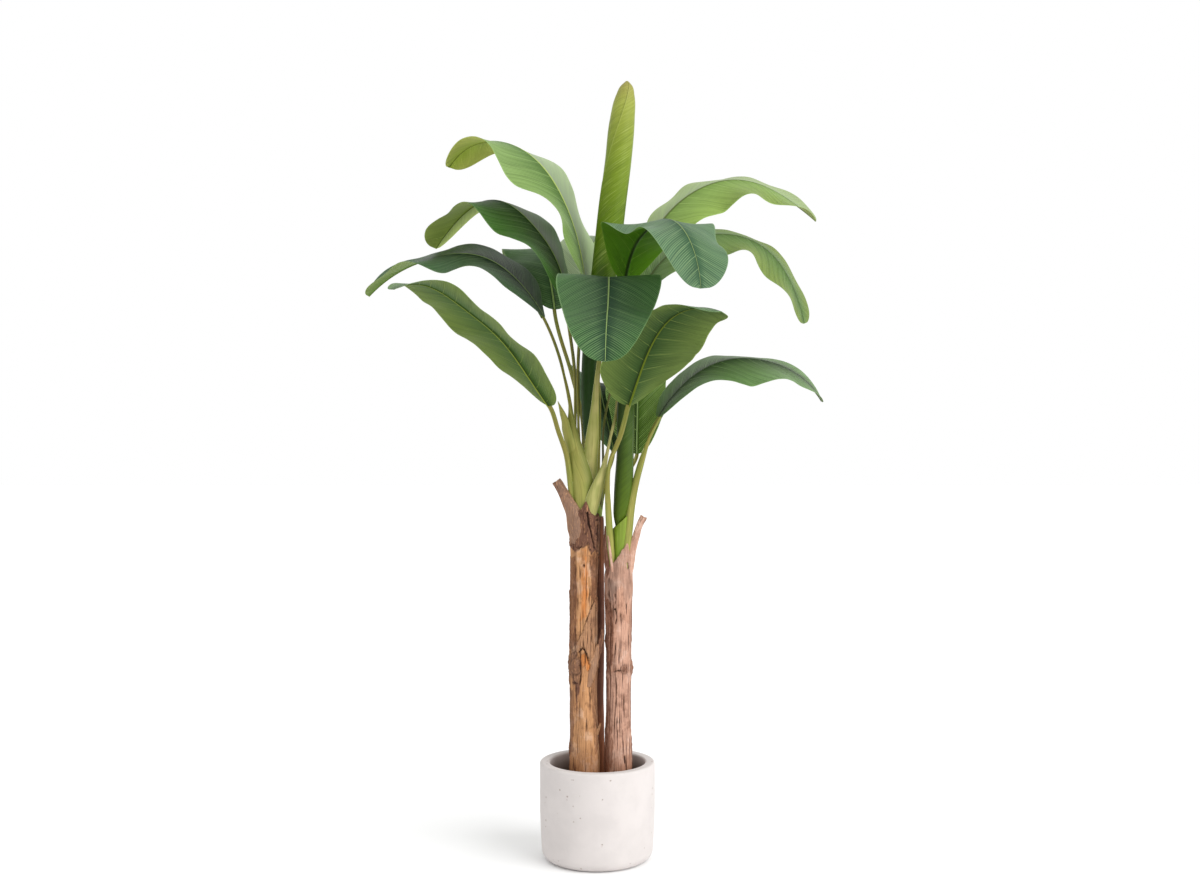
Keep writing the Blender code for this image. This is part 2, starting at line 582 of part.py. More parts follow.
def main():
    """Builds the whole plant."""
    clear_scene()
    plant = new_collection("potted_banana_plant")
    tools = new_collection("cutters")
    tools.hide_render = True
    build_pot(plant, surface("cement", CEMENT, 0.80))
    build_soil(plant, tools, surface("soil", EARTH, 0.95))
    for side in TRUNKS:
        build_trunk(side, plant, tools, surface("bark " + side, DARK_BARK if side == "back" else BARK, 0.85))
    for side in TRUNKS:
        build_crown(side, plant, tools, surface("sheath " + side, SHEATH, 0.50))
    for name, leaf in LEAVES.items():
        build_leaf(name, leaf, plant, surface(name.replace("_", " "), LEAF_GREENS[LEAF_TINTS[name]], 0.45))
    for name, roll in ROLLS.items():
        colour = YOUNG_GREEN if name == "rolled_leaf_tall" else DEEP_GREEN
        build_roll(name, roll, plant, surface(name.replace("_", " "), colour, 0.45))


main()
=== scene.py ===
"""Potted banana plant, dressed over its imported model.

Metres, +Z up, the front towards -Y. Compass angles are in degrees from +X towards +Y.
Every piece is worked out at its own place, so each object stays at the origin, unturned.
"""
import json
import math

import bpy
import numpy as np
from bpy.props import FloatProperty, FloatVectorProperty, IntProperty, PointerProperty
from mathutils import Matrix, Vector


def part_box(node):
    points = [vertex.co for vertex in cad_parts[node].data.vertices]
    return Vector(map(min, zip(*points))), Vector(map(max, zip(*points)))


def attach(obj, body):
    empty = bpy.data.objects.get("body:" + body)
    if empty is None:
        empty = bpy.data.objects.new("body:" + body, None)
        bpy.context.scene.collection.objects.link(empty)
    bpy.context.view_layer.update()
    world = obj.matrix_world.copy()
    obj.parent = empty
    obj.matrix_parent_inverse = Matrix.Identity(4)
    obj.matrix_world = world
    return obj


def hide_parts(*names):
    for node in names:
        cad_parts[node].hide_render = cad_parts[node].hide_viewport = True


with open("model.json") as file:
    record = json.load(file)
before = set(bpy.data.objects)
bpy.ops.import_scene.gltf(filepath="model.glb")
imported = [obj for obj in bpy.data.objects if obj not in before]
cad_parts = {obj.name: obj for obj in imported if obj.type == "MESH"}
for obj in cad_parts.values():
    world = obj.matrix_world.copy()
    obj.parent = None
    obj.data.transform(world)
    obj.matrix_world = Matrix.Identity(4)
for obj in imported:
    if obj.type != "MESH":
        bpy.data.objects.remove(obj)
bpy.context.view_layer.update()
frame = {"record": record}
POT_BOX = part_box("pot")

bl_info = {
    "name": "Potted Banana Plant",
    "version": (1, 0, 0),
    "blender": (4, 5, 0),
    "location": "View3D > Sidebar > Banana Plant",
    "description": "Builds a potted banana plant with bark, sheaths, veined leaves and a cement pot",
    "category": "Add Mesh",
}

# The random tables reach up to this height
NOISE_TOP = 2.2

# Broad sheaths bend round a crown's core of this radius
CROWN_RADIUS = 0.030

# Trunks: axis, radius, socket, rim, how far the rim rises towards one side, peaks of the rim (compass angle,
# height, half width in degrees), and how much the trunk is thicker at each height, all in metres
TRUNKS = {
    "left": dict(
        axis=(-0.031, 0.0), radius=0.0312, bore=0.0272, rim=0.796, rise=0.003, rise_to=-150, seed=11,
        peaks=((-82, 0.026, 17), (-112, 0.006, 20), (60, 0.01, 30)), shape=((0.05, 0.003), (0.2, 0.0034),
        (0.3, 0.001), (0.39, 0.0), (0.45, 0.0012), (0.52, -0.0004), (0.65, 0.0), (0.73, 0.0016),
        (0.8, 0.0012))),
    "right": dict(
        axis=(0.049, 0.0), radius=0.0292, bore=0.0252, rim=0.698, rise=0.042, rise_to=-5, seed=23,
        peaks=((-25, 0.006, 14), (150, 0.012, 25)), shape=((0.05, 0.003), (0.2, 0.0026), (0.29, 0.0012),
        (0.37, -0.0006), (0.43, 0.0008), (0.5, 0.0), (0.56, 0.0014), (0.62, 0.003), (0.66, 0.0024),
        (0.72, 0.0012))),
    "back": dict(
        axis=(-0.002, 0.07), radius=0.0172, bore=0.0138, rim=0.784, rise=0.005, rise_to=-60, seed=37,
        detail=0.6, peaks=(), shape=((0.05, 0.001), (0.3, 0.0), (0.5, 0.0008), (0.78, 0.0))),
}

# Knots on the bark: compass angle, height, half width, half height, and how far each stands out
KNOTS = {
    "left": (
        (-122, 0.447, 0.012, 0.018, 0.0042),
        (-178, 0.452, 0.01, 0.016, 0.002),
        (-172, 0.255, 0.006, 0.014, 0.0028),
        (70, 0.52, 0.016, 0.022, 0.003),
        (140, 0.33, 0.012, 0.018, 0.0026),
    ),
    "right": (
        (-14, 0.441, 0.008, 0.017, 0.0058),
        (-168, 0.503, 0.009, 0.016, 0.004),
        (-6, 0.262, 0.008, 0.02, 0.002),
        (-62, 0.44, 0.01, 0.01, 0.0016),
        (95, 0.48, 0.013, 0.02, 0.0032),
    ),
    "back": (
        (-60, 0.42, 0.006, 0.012, 0.0015),
    ),
}

# Bark plates: outline as (compass angle, height) pairs, lift off the wood, how grey, orange and brown each
# is, how coarse and how smooth, and how softly its edge falls off. A plate with more than the step's lift
# has a sharp edge.
PLATE_STEP = 0.0008
BARK_PLATES = {
    "left": (
        dict(outline=((-200, 0.742), (-170, 0.722), (-128, 0.712), (-100, 0.722), (-72, 0.727), (-60, 0.7),
        (-40, 0.716), (-10, 0.7), (60, 0.722), (160, 0.742), (160, 0.9), (-200, 0.9)), lift=0.002, grey=0.32,
        coarse=1.0, brown=1.0),
        dict(outline=((-38, 0.6), (-82, 0.552), (-127, 0.49), (-118, 0.478), (-92, 0.49), (-70, 0.462),
        (-40, 0.446), (10, 0.44), (40, 0.52), (10, 0.6)), lift=0.0016, grey=0.38, coarse=0.1, brown=0.15),
        dict(outline=((-96, 0.716), (-78, 0.716), (-74, 0.64), (-82, 0.56), (-102, 0.555), (-100, 0.64)),
        lift=0.0, orange=0.8, soft=0.006),
        dict(outline=((-106, 0.45), (-101, 0.471), (-86, 0.48), (-70, 0.469), (-62, 0.446), (-73, 0.438),
        (-84, 0.455), (-95, 0.446)), lift=-0.001, orange=0.85, soft=0.0016),
        dict(outline=((-150, 0.486), (-116, 0.48), (-104, 0.45), (-108, 0.41), (-140, 0.404), (-160, 0.44)),
        lift=0.002, grey=0.35, coarse=0.7, brown=0.65),
        dict(outline=((-134, 0.412), (-106, 0.41), (-112, 0.385), (-122, 0.345), (-130, 0.37)), lift=-0.0007,
        grey=0.3, coarse=0.3, brown=1.0, soft=0.0022),
        dict(outline=((-215, 0.61), (-165, 0.62), (-160, 0.48), (-172, 0.4), (-215, 0.42)), lift=0.0015,
        grey=0.3, coarse=0.4),
        dict(outline=((60, 0.64), (120, 0.66), (140, 0.48), (80, 0.42), (50, 0.5)), lift=0.002, grey=0.7,
        coarse=0.5),
        dict(outline=((20, 0.38), (90, 0.4), (150, 0.34), (120, 0.24), (30, 0.25)), lift=0.0016, grey=0.4,
        orange=0.1, coarse=0.4),
        dict(outline=((-215, 0.7), (-128, 0.7), (-118, 0.62), (-126, 0.54), (-116, 0.5), (-160, 0.48),
        (-215, 0.5)), lift=0.0006, coarse=0.3, brown=0.75),
        dict(outline=((-66, 0.7), (-40, 0.71), (10, 0.69), (30, 0.56), (-30, 0.58), (-58, 0.61)), lift=0.001,
        coarse=0.35, brown=0.8),
        dict(outline=((-60, 0.44), (-30, 0.45), (20, 0.44), (10, 0.3), (-40, 0.24), (-52, 0.33)),
        lift=0.0006, grey=0.1, coarse=0.2, brown=0.55),
        dict(outline=((-215, 0.4), (-140, 0.39), (-132, 0.33), (-140, 0.25), (-215, 0.23)), lift=0.0005,
        grey=0.1, coarse=0.2, brown=0.6),
    ),
    "right": (
        dict(outline=((-210, 0.64), (-150, 0.64), (-118, 0.575), (-104, 0.61), (-80, 0.64), (-60, 0.59),
        (-20, 0.61), (60, 0.6), (150, 0.64), (150, 0.8), (-210, 0.8)), lift=0.0006, grey=0.36, soft=0.004,
        smooth=0.7),
        dict(outline=((-190, 0.61), (-128, 0.6), (-112, 0.545), (-118, 0.47), (-136, 0.42), (-190, 0.44)),
        lift=-0.0007, orange=0.2, coarse=0.5, brown=0.85, soft=0.003),
        dict(outline=((-140, 0.652), (-112, 0.65), (-98, 0.628), (-112, 0.602), (-130, 0.592),
        (-144, 0.615)), lift=0.0003, grey=0.9, soft=0.003),
        dict(outline=((-190, 0.3), (-120, 0.31), (-112, 0.25), (-130, 0.2), (-190, 0.19)), lift=0.0004,
        orange=0.1, coarse=0.2, brown=0.6),
        dict(outline=((-112, 0.52), (-84, 0.56), (-40, 0.54), (-20, 0.45), (-60, 0.438), (-104, 0.436)),
        lift=0.0007, soft=0.003),
        dict(outline=((-190, 0.432), (170, 0.432), (170, 0.3), (100, 0.27), (0, 0.31), (-60, 0.29),
        (-120, 0.31), (-190, 0.28)), lift=0.0006, grey=0.1, coarse=0.2, soft=0.005),
        dict(outline=((-14, 0.64), (70, 0.64), (70, 0.2), (-4, 0.2), (-22, 0.33), (-12, 0.45)), lift=0.0003,
        coarse=0.1, brown=0.7, soft=0.006),
        dict(outline=((-190, 0.42), (-140, 0.415), (-132, 0.3), (-140, 0.2), (-190, 0.19)), lift=0.0003,
        orange=0.1, coarse=0.1, brown=0.8, soft=0.006),
        dict(outline=((30, 0.6), (110, 0.58), (120, 0.46), (60, 0.44), (20, 0.5)), lift=0.0018, grey=0.6,
        coarse=0.5),
    ),
    "back": (),
}

# Splits in the bark: a line of (compass angle, height) pairs, its half width and its depth
BARK_SPLITS = {
    "left": (
        dict(line=((-76, 0.8), (-70, 0.775), (-58, 0.745), (-44, 0.722)), half=0.0016, depth=0.006),
        dict(line=((-128, 0.712), (-112, 0.716), (-98, 0.724)), half=0.001, depth=0.0035),
        dict(line=((-38, 0.6), (-60, 0.575), (-82, 0.55)), half=0.0006, depth=0.0015),
        dict(line=((-110, 0.48), (-94, 0.49), (-80, 0.478), (-68, 0.45)), half=0.0009, depth=0.003),
        dict(line=((-28, 0.7), (-26, 0.64), (-20, 0.59)), half=0.0008, depth=0.0025),
        dict(line=((-106, 0.47), (-102, 0.43), (-108, 0.405)), half=0.0009, depth=0.0028),
        dict(line=((-90, 0.6795), (-89, 0.6775)), half=0.002, depth=0.0045),
        dict(line=((-60, 0.545), (-54, 0.52), (-52, 0.5)), half=0.0007, depth=0.002),
        dict(line=((100, 0.7), (96, 0.6), (104, 0.52)), half=0.001, depth=0.003),
    ),
    "right": (
        dict(line=((-118, 0.575), (-104, 0.58), (-98, 0.56), (-104, 0.545)), half=0.0008, depth=0.0028),
        dict(line=((-130, 0.6), (-128, 0.56), (-130, 0.52)), half=0.0007, depth=0.0022),
        dict(line=((-104, 0.5), (-108, 0.47), (-114, 0.44)), half=0.0006, depth=0.0018),
        dict(line=((-48, 0.684), (-44, 0.672)), half=0.0016, depth=0.004),
        dict(line=((-112, 0.434), (-92, 0.438), (-64, 0.436)), half=0.0006, depth=0.0012),
        dict(line=((-66, 0.24), (-62, 0.224)), half=0.0014, depth=0.004),
        dict(line=((70, 0.56), (76, 0.48)), half=0.001, depth=0.003),
    ),
    "back": (),
}

# The tables from here on hold these lengths in millimetres
LENGTHS = ("stalk", "turns", "wide", "slim", "base", "length", "wave", "half", "path", "thick", "radius",
           "heights", "centre", "tilt", "profile")

# Dried leaf bases and loose flaps: path, half width, half thickness, the compass angle that the face looks
# to, and how grey or brown each is
HUSKS = {
    "left": (
        dict(path=((-40, -17, 700), (-45, -24, 738), (-49, -27, 770), (-59, -25, 804), (-79, -20, 847),
        (-94.5, -16, 872)), half=(17, 20.5, 21, 17.8, 12.5, 10.8), face=-105,
        thick=(2, 3.4, 4, 4.2, 4.2, 3.6), grey=0.9, brown=0.25),
        dict(path=((-4, -15, 452), (3.5, -14, 480), (10, -12, 508), (13.5, -10, 530)), half=(7, 7.5, 6.4, 4),
        thick=(2, 2.2, 2.2, 1.6), face=-65, grey=0.3, brown=1.2),
        dict(path=((-1, -17, 288), (3.5, -17, 302), (7, -16, 312)), half=(4.5, 3.6, 1.8),
        thick=(0.9, 0.9, 0.7), face=-60, grey=0.2, brown=0.1),
        dict(path=((-20, -29, 400), (-12, -29, 430), (-4, -24, 465), (1, -19, 495)), half=(5, 8.5, 7.5, 3.5),
        thick=(1, 1.2, 1.2, 1), face=-70, grey=0.7, brown=0.2),
    ),
    "right": (
        dict(path=((69, -12, 650), (76, -12, 690), (86, -10.5, 733), (97.5, -8, 768), (107.5, -7, 789)),
        half=(11, 12, 10, 8.2, 8.6), thick=(3, 3.2, 3, 2.8, 2.6), face=-70, grey=0.1, brown=0.0),
        dict(path=((64, -10, 690), (68, -10, 715), (70.5, -9, 742), (71.5, -8, 766)), half=(6, 7.5, 5, 1.2),
        thick=(1.2, 1.2, 1, 0.8), face=-80, grey=0.1, brown=1.3),
        dict(path=((35, -29, 664), (30.5, -29, 700), (25.5, -28.5, 738), (21.5, -27, 772)),
        half=(3.2, 3, 2.4, 1), thick=(0.9, 0.9, 0.8, 0.6), face=-95, grey=0.0, brown=-0.4),
        dict(path=((28, -21, 650), (23.5, -22, 690), (20.5, -21, 730), (19.5, -20, 768)),
        half=(7, 8.5, 7, 3), thick=(1.4, 1.4, 1.2, 1), face=-100, grey=0.2, brown=1.2),
    ),
    "back": (),
}

# Each leaf: the trunk it grows from, the stalk's points below the blade, the compass angle that the sheath
# faces and the heights between which it turns to the blade, its half widths to the left and right at some
# heights, the stalk's half width, the blade's base, its length, the heading and the climb along it, its
# roll, how far each half folds up, its edge waves, and its colours: by the rib, at the margin, far out, and
# the same two below. A cast paints a sheen that turns the left or the right half paler, or, where it is
# below 0, a painted shade that turns it darker.
LEAVES = {
    "leaf_left_top": dict(
        trunk="left", stalk=((-36, 12, 778), (-42, 10, 990), (-40.5, 14, 1198)), faces=-150,
        turns=(900, 1100), wide=((778, 13, 13), (900, 8, 8), (1000, 4.6, 4.6)), slim=4.2,
        base=(-27, 22, 1295), length=630, heading=(158, 164, 151), climb=(87, 74, 54, 12, -53),
        roll=(8, -1, -9, 3, 32), fold_left=(20, 2, -25, -18, -42), fold_right=(12, -3, 10), wave=(18, 10),
        waves=2.2, start=(0.46, 0.02), half=108, rib=1.1, rib_light="#a9bd62", rib_under="#5c6a24",
        # The colours below are lightened with painted light shining through the thin curled tip.
        cast=(-0.08, 0.34), colours=("#557536", "#76954a", "#7b9756", "#b4c654", "#c8cf6c")),
    "leaf_left_upper": dict(
        trunk="left", stalk=((-40, 16, 778), (-50, 30, 1000), (-51.2, 28, 1113)), faces=-160,
        turns=(900, 1100), wide=((778, 14, 14), (900, 9, 9), (1000, 4.6, 4.6)), slim=4.2,
        base=(-73, 21, 1295), length=570, heading=(154, 148, 140), climb=(85, 55, 32, -26, -46),
        roll=(0, -6, -3), fold_left=(0, -20, 15), fold_right=(-14, -7, 20), wave=(15, 5), waves=2.5,
        start=(0.75, 0.3), rib=0.8, rib_under="#5c6a24", cast=(0.0, 0.1),
        colours=("#224414", "#2f5f16", "#345e20", "#94aa4e", "#aabe62")),
    "leaf_left_middle": dict(
        trunk="left", stalk=((-35, -23, 778), (-37, -26, 822), (-40, -26, 866), (-51, -19, 917),
        (-57.2, -10, 967), (-58.2, -2, 1013), (-64, 2, 1059)), faces=-100, turns=(990, 1160), tone=0.45,
        wide=((778, 18, 26), (822, 20, 30), (866, 20.7, 30), (917, 15, 26.5), (967, 18, 17.3), (1000, 17, 9),
        (1020, 11, 5), (1050, 5, 4.2)), slim=4.2, base=(-125, 22, 1255), length=570, heading=(166, 152, 164),
        climb=(61, 39, 4, -18, -45), roll=(0, -12, -12), fold_left=(0, -15, 15), fold_right=(0, 4, 30),
        wave=(14, 9), waves=2.6, start=(0.47, 0.78), rib=0.7,
        colours=("#18301c", "#244626", "#30542c", "#64803a", "#788e4c")),
    "leaf_left_lower": dict(
        trunk="left", stalk=((-57, -12, 778), (-60.5, -14, 848), (-64.5, -17, 890), (-70.5, -22, 932),
        (-87.5, -33, 985)), faces=-125, turns=(860, 1000), wide=((778, 8, 8), (930, 6.8, 6.8),
        (1000, 5.6, 5.6)), slim=5.6, base=(-108, -45, 1045), length=520, heading=(218, 225, 223),
        climb=(49, 47, 29, 21, -28), roll=(-3, -4, 0), fold_left=(0, -15, 5), fold_right=(5, -10, 5),
        wave=(3, 5), waves=3.7, start=(0.14, 0.92), slant=0.6, rib_under="#7b8a2b",
        colours=("#36522c", "#466a35", "#5a7844", "#3f5a26", "#627634")),
    "leaf_left_rear": dict(
        trunk="left", stalk=((-38, 14, 778), (-38, 45, 1033), (-60, 70, 1120)), faces=170, turns=(900, 1100),
        wide=((778, 13, 13), (920, 7, 7), (1000, 4.6, 4.6)), slim=4.2, base=(-104, 120, 1283), length=400,
        heading=(116, 108, 108), climb=(77, 57, 24, -6, -26), roll=(0, 0, 0), fold_left=(3, -8, -8),
        fold_right=(5, -40, -60), wave=(6, 6), waves=3.2, start=(0.4, 0.9), half=90, slant=0.25, veins=0.7,
        colours=("#3c5c36", "#4a6e40", "#4a6e40", "#4c6433", "#5b7040")),
    "leaf_front_middle": dict(
        trunk="left", stalk=((-21.5, 0, 778), (-17, -4, 876), (-14.5, -13, 933), (-9.5, -34, 985),
        (-5, -54, 1035), (-1.5, -68, 1085), (2.5, -80, 1130)), faces=-84, turns=(950, 1050), tone=0.8,
        wide=((778, 17, 17), (876, 17, 16.5), (933, 16.5, 15.8), (967, 16, 15), (1017, 12.2, 11),
        (1078, 8.5, 7), (1125, 6, 5)), slim=5, base=(10.5, -90, 1181), length=520, heading=(-77, -91, -93),
        climb=(69, 43, -36, -34, -70), roll=(0, 0, 0), fold_left=(20, 1, 10), fold_right=(20, 3, 11),
        wave=(6, 6), waves=2.7, start=(0.9, 0.85), half=110, rib=0.85,
        colours=("#26432a", "#3b6630", "#34592e", "#4c6433", "#5b7040")),
    "leaf_right_upper": dict(
        trunk="left", stalk=((-13, -20, 778), (-8.5, -28, 826), (-2, -29.5, 848), (9.7, -30, 884),
        (18.8, -25, 922), (29.7, -10, 974), (39.4, 4, 1018), (45.8, 14, 1059), (70, 40, 1170)), faces=-68,
        turns=(950, 1080), tone=1.0, wide=((778, 12, 2), (802, 18, 14), (826, 18.5, 18.2), (848, 16.8, 16.2),
        (884, 11.4, 11), (905, 7.4, 7), (925, 5, 4.8), (1059, 5, 5)), slim=4.6, base=(105, 55, 1317),
        length=590, heading=(45, 0, 7), climb=(58, 36, -8, -56, -79), roll=(7, 12, 20),
        fold_left=(8, 3, 3, 4, 20), fold_right=(3, -8, -20, -20, -12), wave=(-4, 12), waves=3.5,
        start=(0.25, 0.17), rib=0.6, rib_light="#4a5a22", rib_under="#4d5a1e",
        colours=("#4a672c", "#51702f", "#6f8036", "#5a6d2c", "#6f7f34")),
    "leaf_front_lower": dict(
        trunk="right", stalk=((34.5, -18, 655), (26.5, -27, 783.5), (24.4, -31, 818), (23.1, -35, 864),
        (25.4, -40, 901), (31, -45, 926), (41.2, -52, 950), (52, -61, 978), (62, -73, 1015)), faces=-70,
        turns=(860, 970), wide=((655, 8.5, 8.5), (783, 8.2, 7.8), (818, 7.2, 7.2), (864, 5.6, 5.6),
        (926, 4.6, 4.6), (978, 6.2, 6.2), (1020, 5.8, 5.8)), slim=5.2, base=(69, -85, 1044), length=390,
        heading=(-51, -50, -42), climb=(62, 60, 42, 7, -22), roll=(-5, -11, 0), fold_left=(16, -22, -14),
        fold_right=(24, -6, -5), wave=(6, 7), waves=2.8, start=(0.14, 0.85), half=105, slant=0.3,
        rib_under="#5d6b1c", colours=("#3f6236", "#4c703c", "#58784c", "#385026", "#5f7338")),
    "leaf_right_lower": dict(
        trunk="right", stalk=((64, -16, 655), (69, -16, 727), (73.5, -14, 761), (77.5, -12, 804),
        (88.8, -8, 868), (106.5, -2, 933), (119, 0, 974.5)), faces=-70, turns=(900, 1000),
        wide=((655, 10, 9), (761, 10.5, 9), (804, 10, 9.2), (868, 8.8, 8.4), (933, 7.4, 7.4),
        (975, 6.4, 6.4), (1010, 5.5, 5.5)), slim=5.2, base=(143, 4, 1021), length=560, heading=(22, 32, 26),
        climb=(59, 33, 4, -19, -55), roll=(-4, 14, 19), fold_left=(0, -9, 20), fold_right=(3, -25, -7),
        wave=(4, 9), waves=2.5, start=(0.0, 0.7), rib=0.6, rib_light="#33481e",
        colours=("#213a0e", "#40681f", "#6a8858", "#4c6433", "#5b7040")),
    "leaf_front_upper": dict(
        trunk="right", stalk=((49, 14, 655), (62, 28, 800), (66, 28, 950), (68, 22, 1150)), faces=60,
        turns=(850, 1050), wide=((655, 12, 12), (850, 6, 6), (950, 4.6, 4.6)), slim=4.4,
        base=(63, -50, 1328), length=560, heading=(-76, -71, -65), climb=(61, 17, -2, -40, -82),
        roll=(-16, 0, 0), fold_left=(27, -12, 5), fold_right=(35, -14, 3), wave=(15, 13), waves=2.7,
        start=(0.73, 0.19), rib=0.55, rib_under="#22380c", veins=1.45,
        colours=("#345638", "#3f613e", "#4e6e50", "#44720f", "#4e7c10")),
    "leaf_rear_lower_right": dict(
        trunk="right", stalk=((56, 12, 655), (66, 36, 800), (72, 62, 885)), faces=30, turns=(750, 850),
        wide=((655, 11, 11), (780, 6, 6), (850, 4.6, 4.6)), slim=4.4, base=(94.5, 90, 935), length=420,
        heading=(84, 90, 95), climb=(82, 62, 30, 0, -45), roll=(-5, -5, 0), fold_left=(8, 5, 5),
        fold_right=(20, 15, 8), wave=(6, 6), waves=3.2, start=(0.0, 0.5), half=75, veins=1.6,
        cast=(-0.8, 0.0), colours=("#4a6a1e", "#64842e", "#7b9850", "#4c6433", "#5b7040")),
    "leaf_right_top": dict(
        trunk="back", stalk=((2, 68, 760), (13.1, 66, 900), (13.5, 68, 990), (34.5, 94, 1110)), faces=-70,
        turns=(950, 1150), wide=((760, 9, 9), (860, 4, 4), (950, 2.6, 2.6)), tone=0.0, slim=3,
        base=(104.6, 212, 1410), length=610, heading=(30, 18, 7), climb=(67, 47, 19, -22, -42),
        roll=(0, 14, 17), fold_left=(-5, -3, 20), fold_right=(10, -34, -28, -18, 5), wave=(5, 11), waves=4.8,
        waves_right=3.0, start=(0.0, 0.45), rib=0.6, rib_light="#5d6c2c", cast=(0.24, 0.0),
        colours=("#6f8b42", "#84a048", "#6e823a", "#75883a", "#859244")),
    # Its pale grey-green colours above are a painted sheen.
    "leaf_rear": dict(
        trunk="back", stalk=((-4, 72, 760), (1.3, 76, 904), (3.6, 100, 1077)), faces=90, turns=(950, 1150),
        wide=((760, 9, 9), (860, 6, 6), (950, 4.4, 4.4)), slim=4.2, base=(-24, 250, 1285), length=530,
        heading=(84, 78, 76), climb=(80, 62, 20, -30, -70), roll=(0, 0, 0), fold_left=(8, 5, 5),
        fold_right=(8, 5, 5), wave=(6, 6), waves=2.6, start=(0.35, 0.9), half=85,
        colours=("#6d7d63", "#7c8b6b", "#7c8b6b", "#66793f", "#76854a")),
    "leaf_rear_lower_left": dict(
        trunk="back", stalk=((1, 77, 760), (18, 102, 870)), faces=70, turns=(800, 900), wide=((760, 9, 9),
        (830, 6, 6), (880, 4.4, 4.4)), slim=4.2, base=(38, 125, 942), length=470, heading=(120, 92, 82),
        climb=(70, 50, 17, -38, -74), roll=(10, 20, 10), fold_left=(15, 10, 5), fold_right=(15, 5, 5),
        wave=(6, 6), waves=3.2, start=(0.6, 0.2), half=88, veins=0.6,
        colours=("#26421f", "#33552a", "#33552a", "#36502a", "#455f34")),
}

# The pointed wing beside the widest sheath: its path, half width and half thickness
WING = dict(path=((-48, -4, 880), (-59, -12, 935), (-68.5, -11, 980), (-77.5, -7, 1018), (-90.5, -3, 1055)),
            half=(6, 11.5, 12, 8.5, 1.2), thick=(1.4, 1.6, 1.4, 1.2, 0.8), face=-112, grey=0.0, brown=0.0)

# The cores of the crowns: centre, how far the top is tilted, and (radius, height) points
HEARTS = {
    "left": dict(centre=(-31, 0), tilt=0, profile=(
        (2, 950), (6, 947), (11, 915), (15, 880), (19, 840), (23, 800), (23, 775), (2, 775))),
    "right": dict(centre=(53.5, -6), tilt=19, profile=(
        (2, 752), (15, 756), (18, 779), (19.2, 778), (17.8, 745), (16.5, 715), (16, 680), (19, 656),
        (2, 656))),
    "back": dict(centre=(-2, 70), tilt=0, profile=((2, 846), (6, 842), (12.8, 800), (13.2, 772), (2, 772))),
}

# Rolled leaves: centre line, radius at each point, the seam's compass angle at some heights, where round the
# roll the shaded side starts and ends, and its colours from the foot to the tip
ROLLS = {
    "rolled_leaf_tall": dict(
        path=((-21, 0, 956), (-16, 0, 975), (-14.9, 0, 1020), (-14.9, 0, 1160), (6, 0, 1290),
        (24.6, 0, 1420), (36.2, 0, 1524), (48, 0, 1617), (57, 0, 1710), (64, 0, 1766), (67.4, 0, 1790),
        (68.6, 0, 1800)), radius=(6, 15, 20, 20.5, 27, 31.5, 32.5, 32, 30, 22.5, 13, 3),
        heights=(956, 1400, 1560, 1640, 1700, 1755, 1800), seam=(-182, -176, -160, -128, -100, -78, -62),
        shaded=(0.34, 0.46, 0.5, 0.62, 0.55), stops=((0.0, "#1f3812"), (0.28, "#233c14"), (0.45, "#466214"),
        (0.62, "#5f7a12"), (0.78, "#748826"), (0.93, "#909940"), (1.0, "#8f8746")), slot="young_leaf",
        veins=0.75),
    "rolled_leaf_low": dict(
        path=((47.8, -8, 763), (52, -8, 790), (57, -8, 830), (64, -8, 940), (65, -8, 1056), (66, -10, 1110),
        (67, -12, 1160)), radius=(5, 15, 20, 20, 19, 13, 3), heights=(763, 950, 1160), seam=(-8, 0, 10),
        shaded=(0.38, 0.5, 0.62, 0.78, 0.8), stops=((0.0, "#4e6412"), (0.3, "#465c18"), (0.55, "#3a521c"),
        (1.0, "#243614")), slot="deep_leaf", veins=0.16),
}


def length(name, description, default):
    """A length in metres."""
    return FloatProperty(name=name, description=description, default=default, unit="LENGTH")


def tint(name, description, default):
    """A colour as shares of red, green and blue."""
    return FloatVectorProperty(name=name, description=description, default=default, subtype="COLOR_GAMMA")


class PotSizes(bpy.types.PropertyGroup):
    """Sizes and colours of the pot and its soil"""
    radius: length("Radius", "Outer radius at the rim", float(POT_BOX[1][0] - POT_BOX[0][0]) / 2)
    height: length("Height", "Height of the rim", float(POT_BOX[1][2]))
    foot_radius: length("Foot Radius", "Outer radius above the rounded foot", 0.1285)
    bore: length("Bore", "Inner radius", 0.110)
    floor: length("Floor", "Thickness of the floor", 0.015)
    floor_round: length("Floor Rounding", "Radius of the inner corner at the floor", 0.008)
    foot_round: length("Foot Rounding", "Radius of the lower edge", 0.024)
    rim_round: length("Rim Rounding", "Radius of the rim's edges", 0.005)
    soil_top: length("Soil Height", "Height of the soil at the wall", 0.163)
    soil_dome: length("Soil Dome", "How much higher the soil is in the middle", 0.008)
    cement: tint("Cement", "Colour of the cast cement", (0.800, 0.775, 0.765))
    # The colour of the inner wall is painted shade, which darkens it down into the pot.
    painted_inner_shade: tint("Painted Inner Shade", "Colour of the painted shade on the inner wall", (0.440, 0.375, 0.325))
    pits: tint("Pits", "Colour inside the small pits", (0.600, 0.530, 0.490))
    earth: tint("Compost", "Colour of the compost", (0.205, 0.150, 0.110))


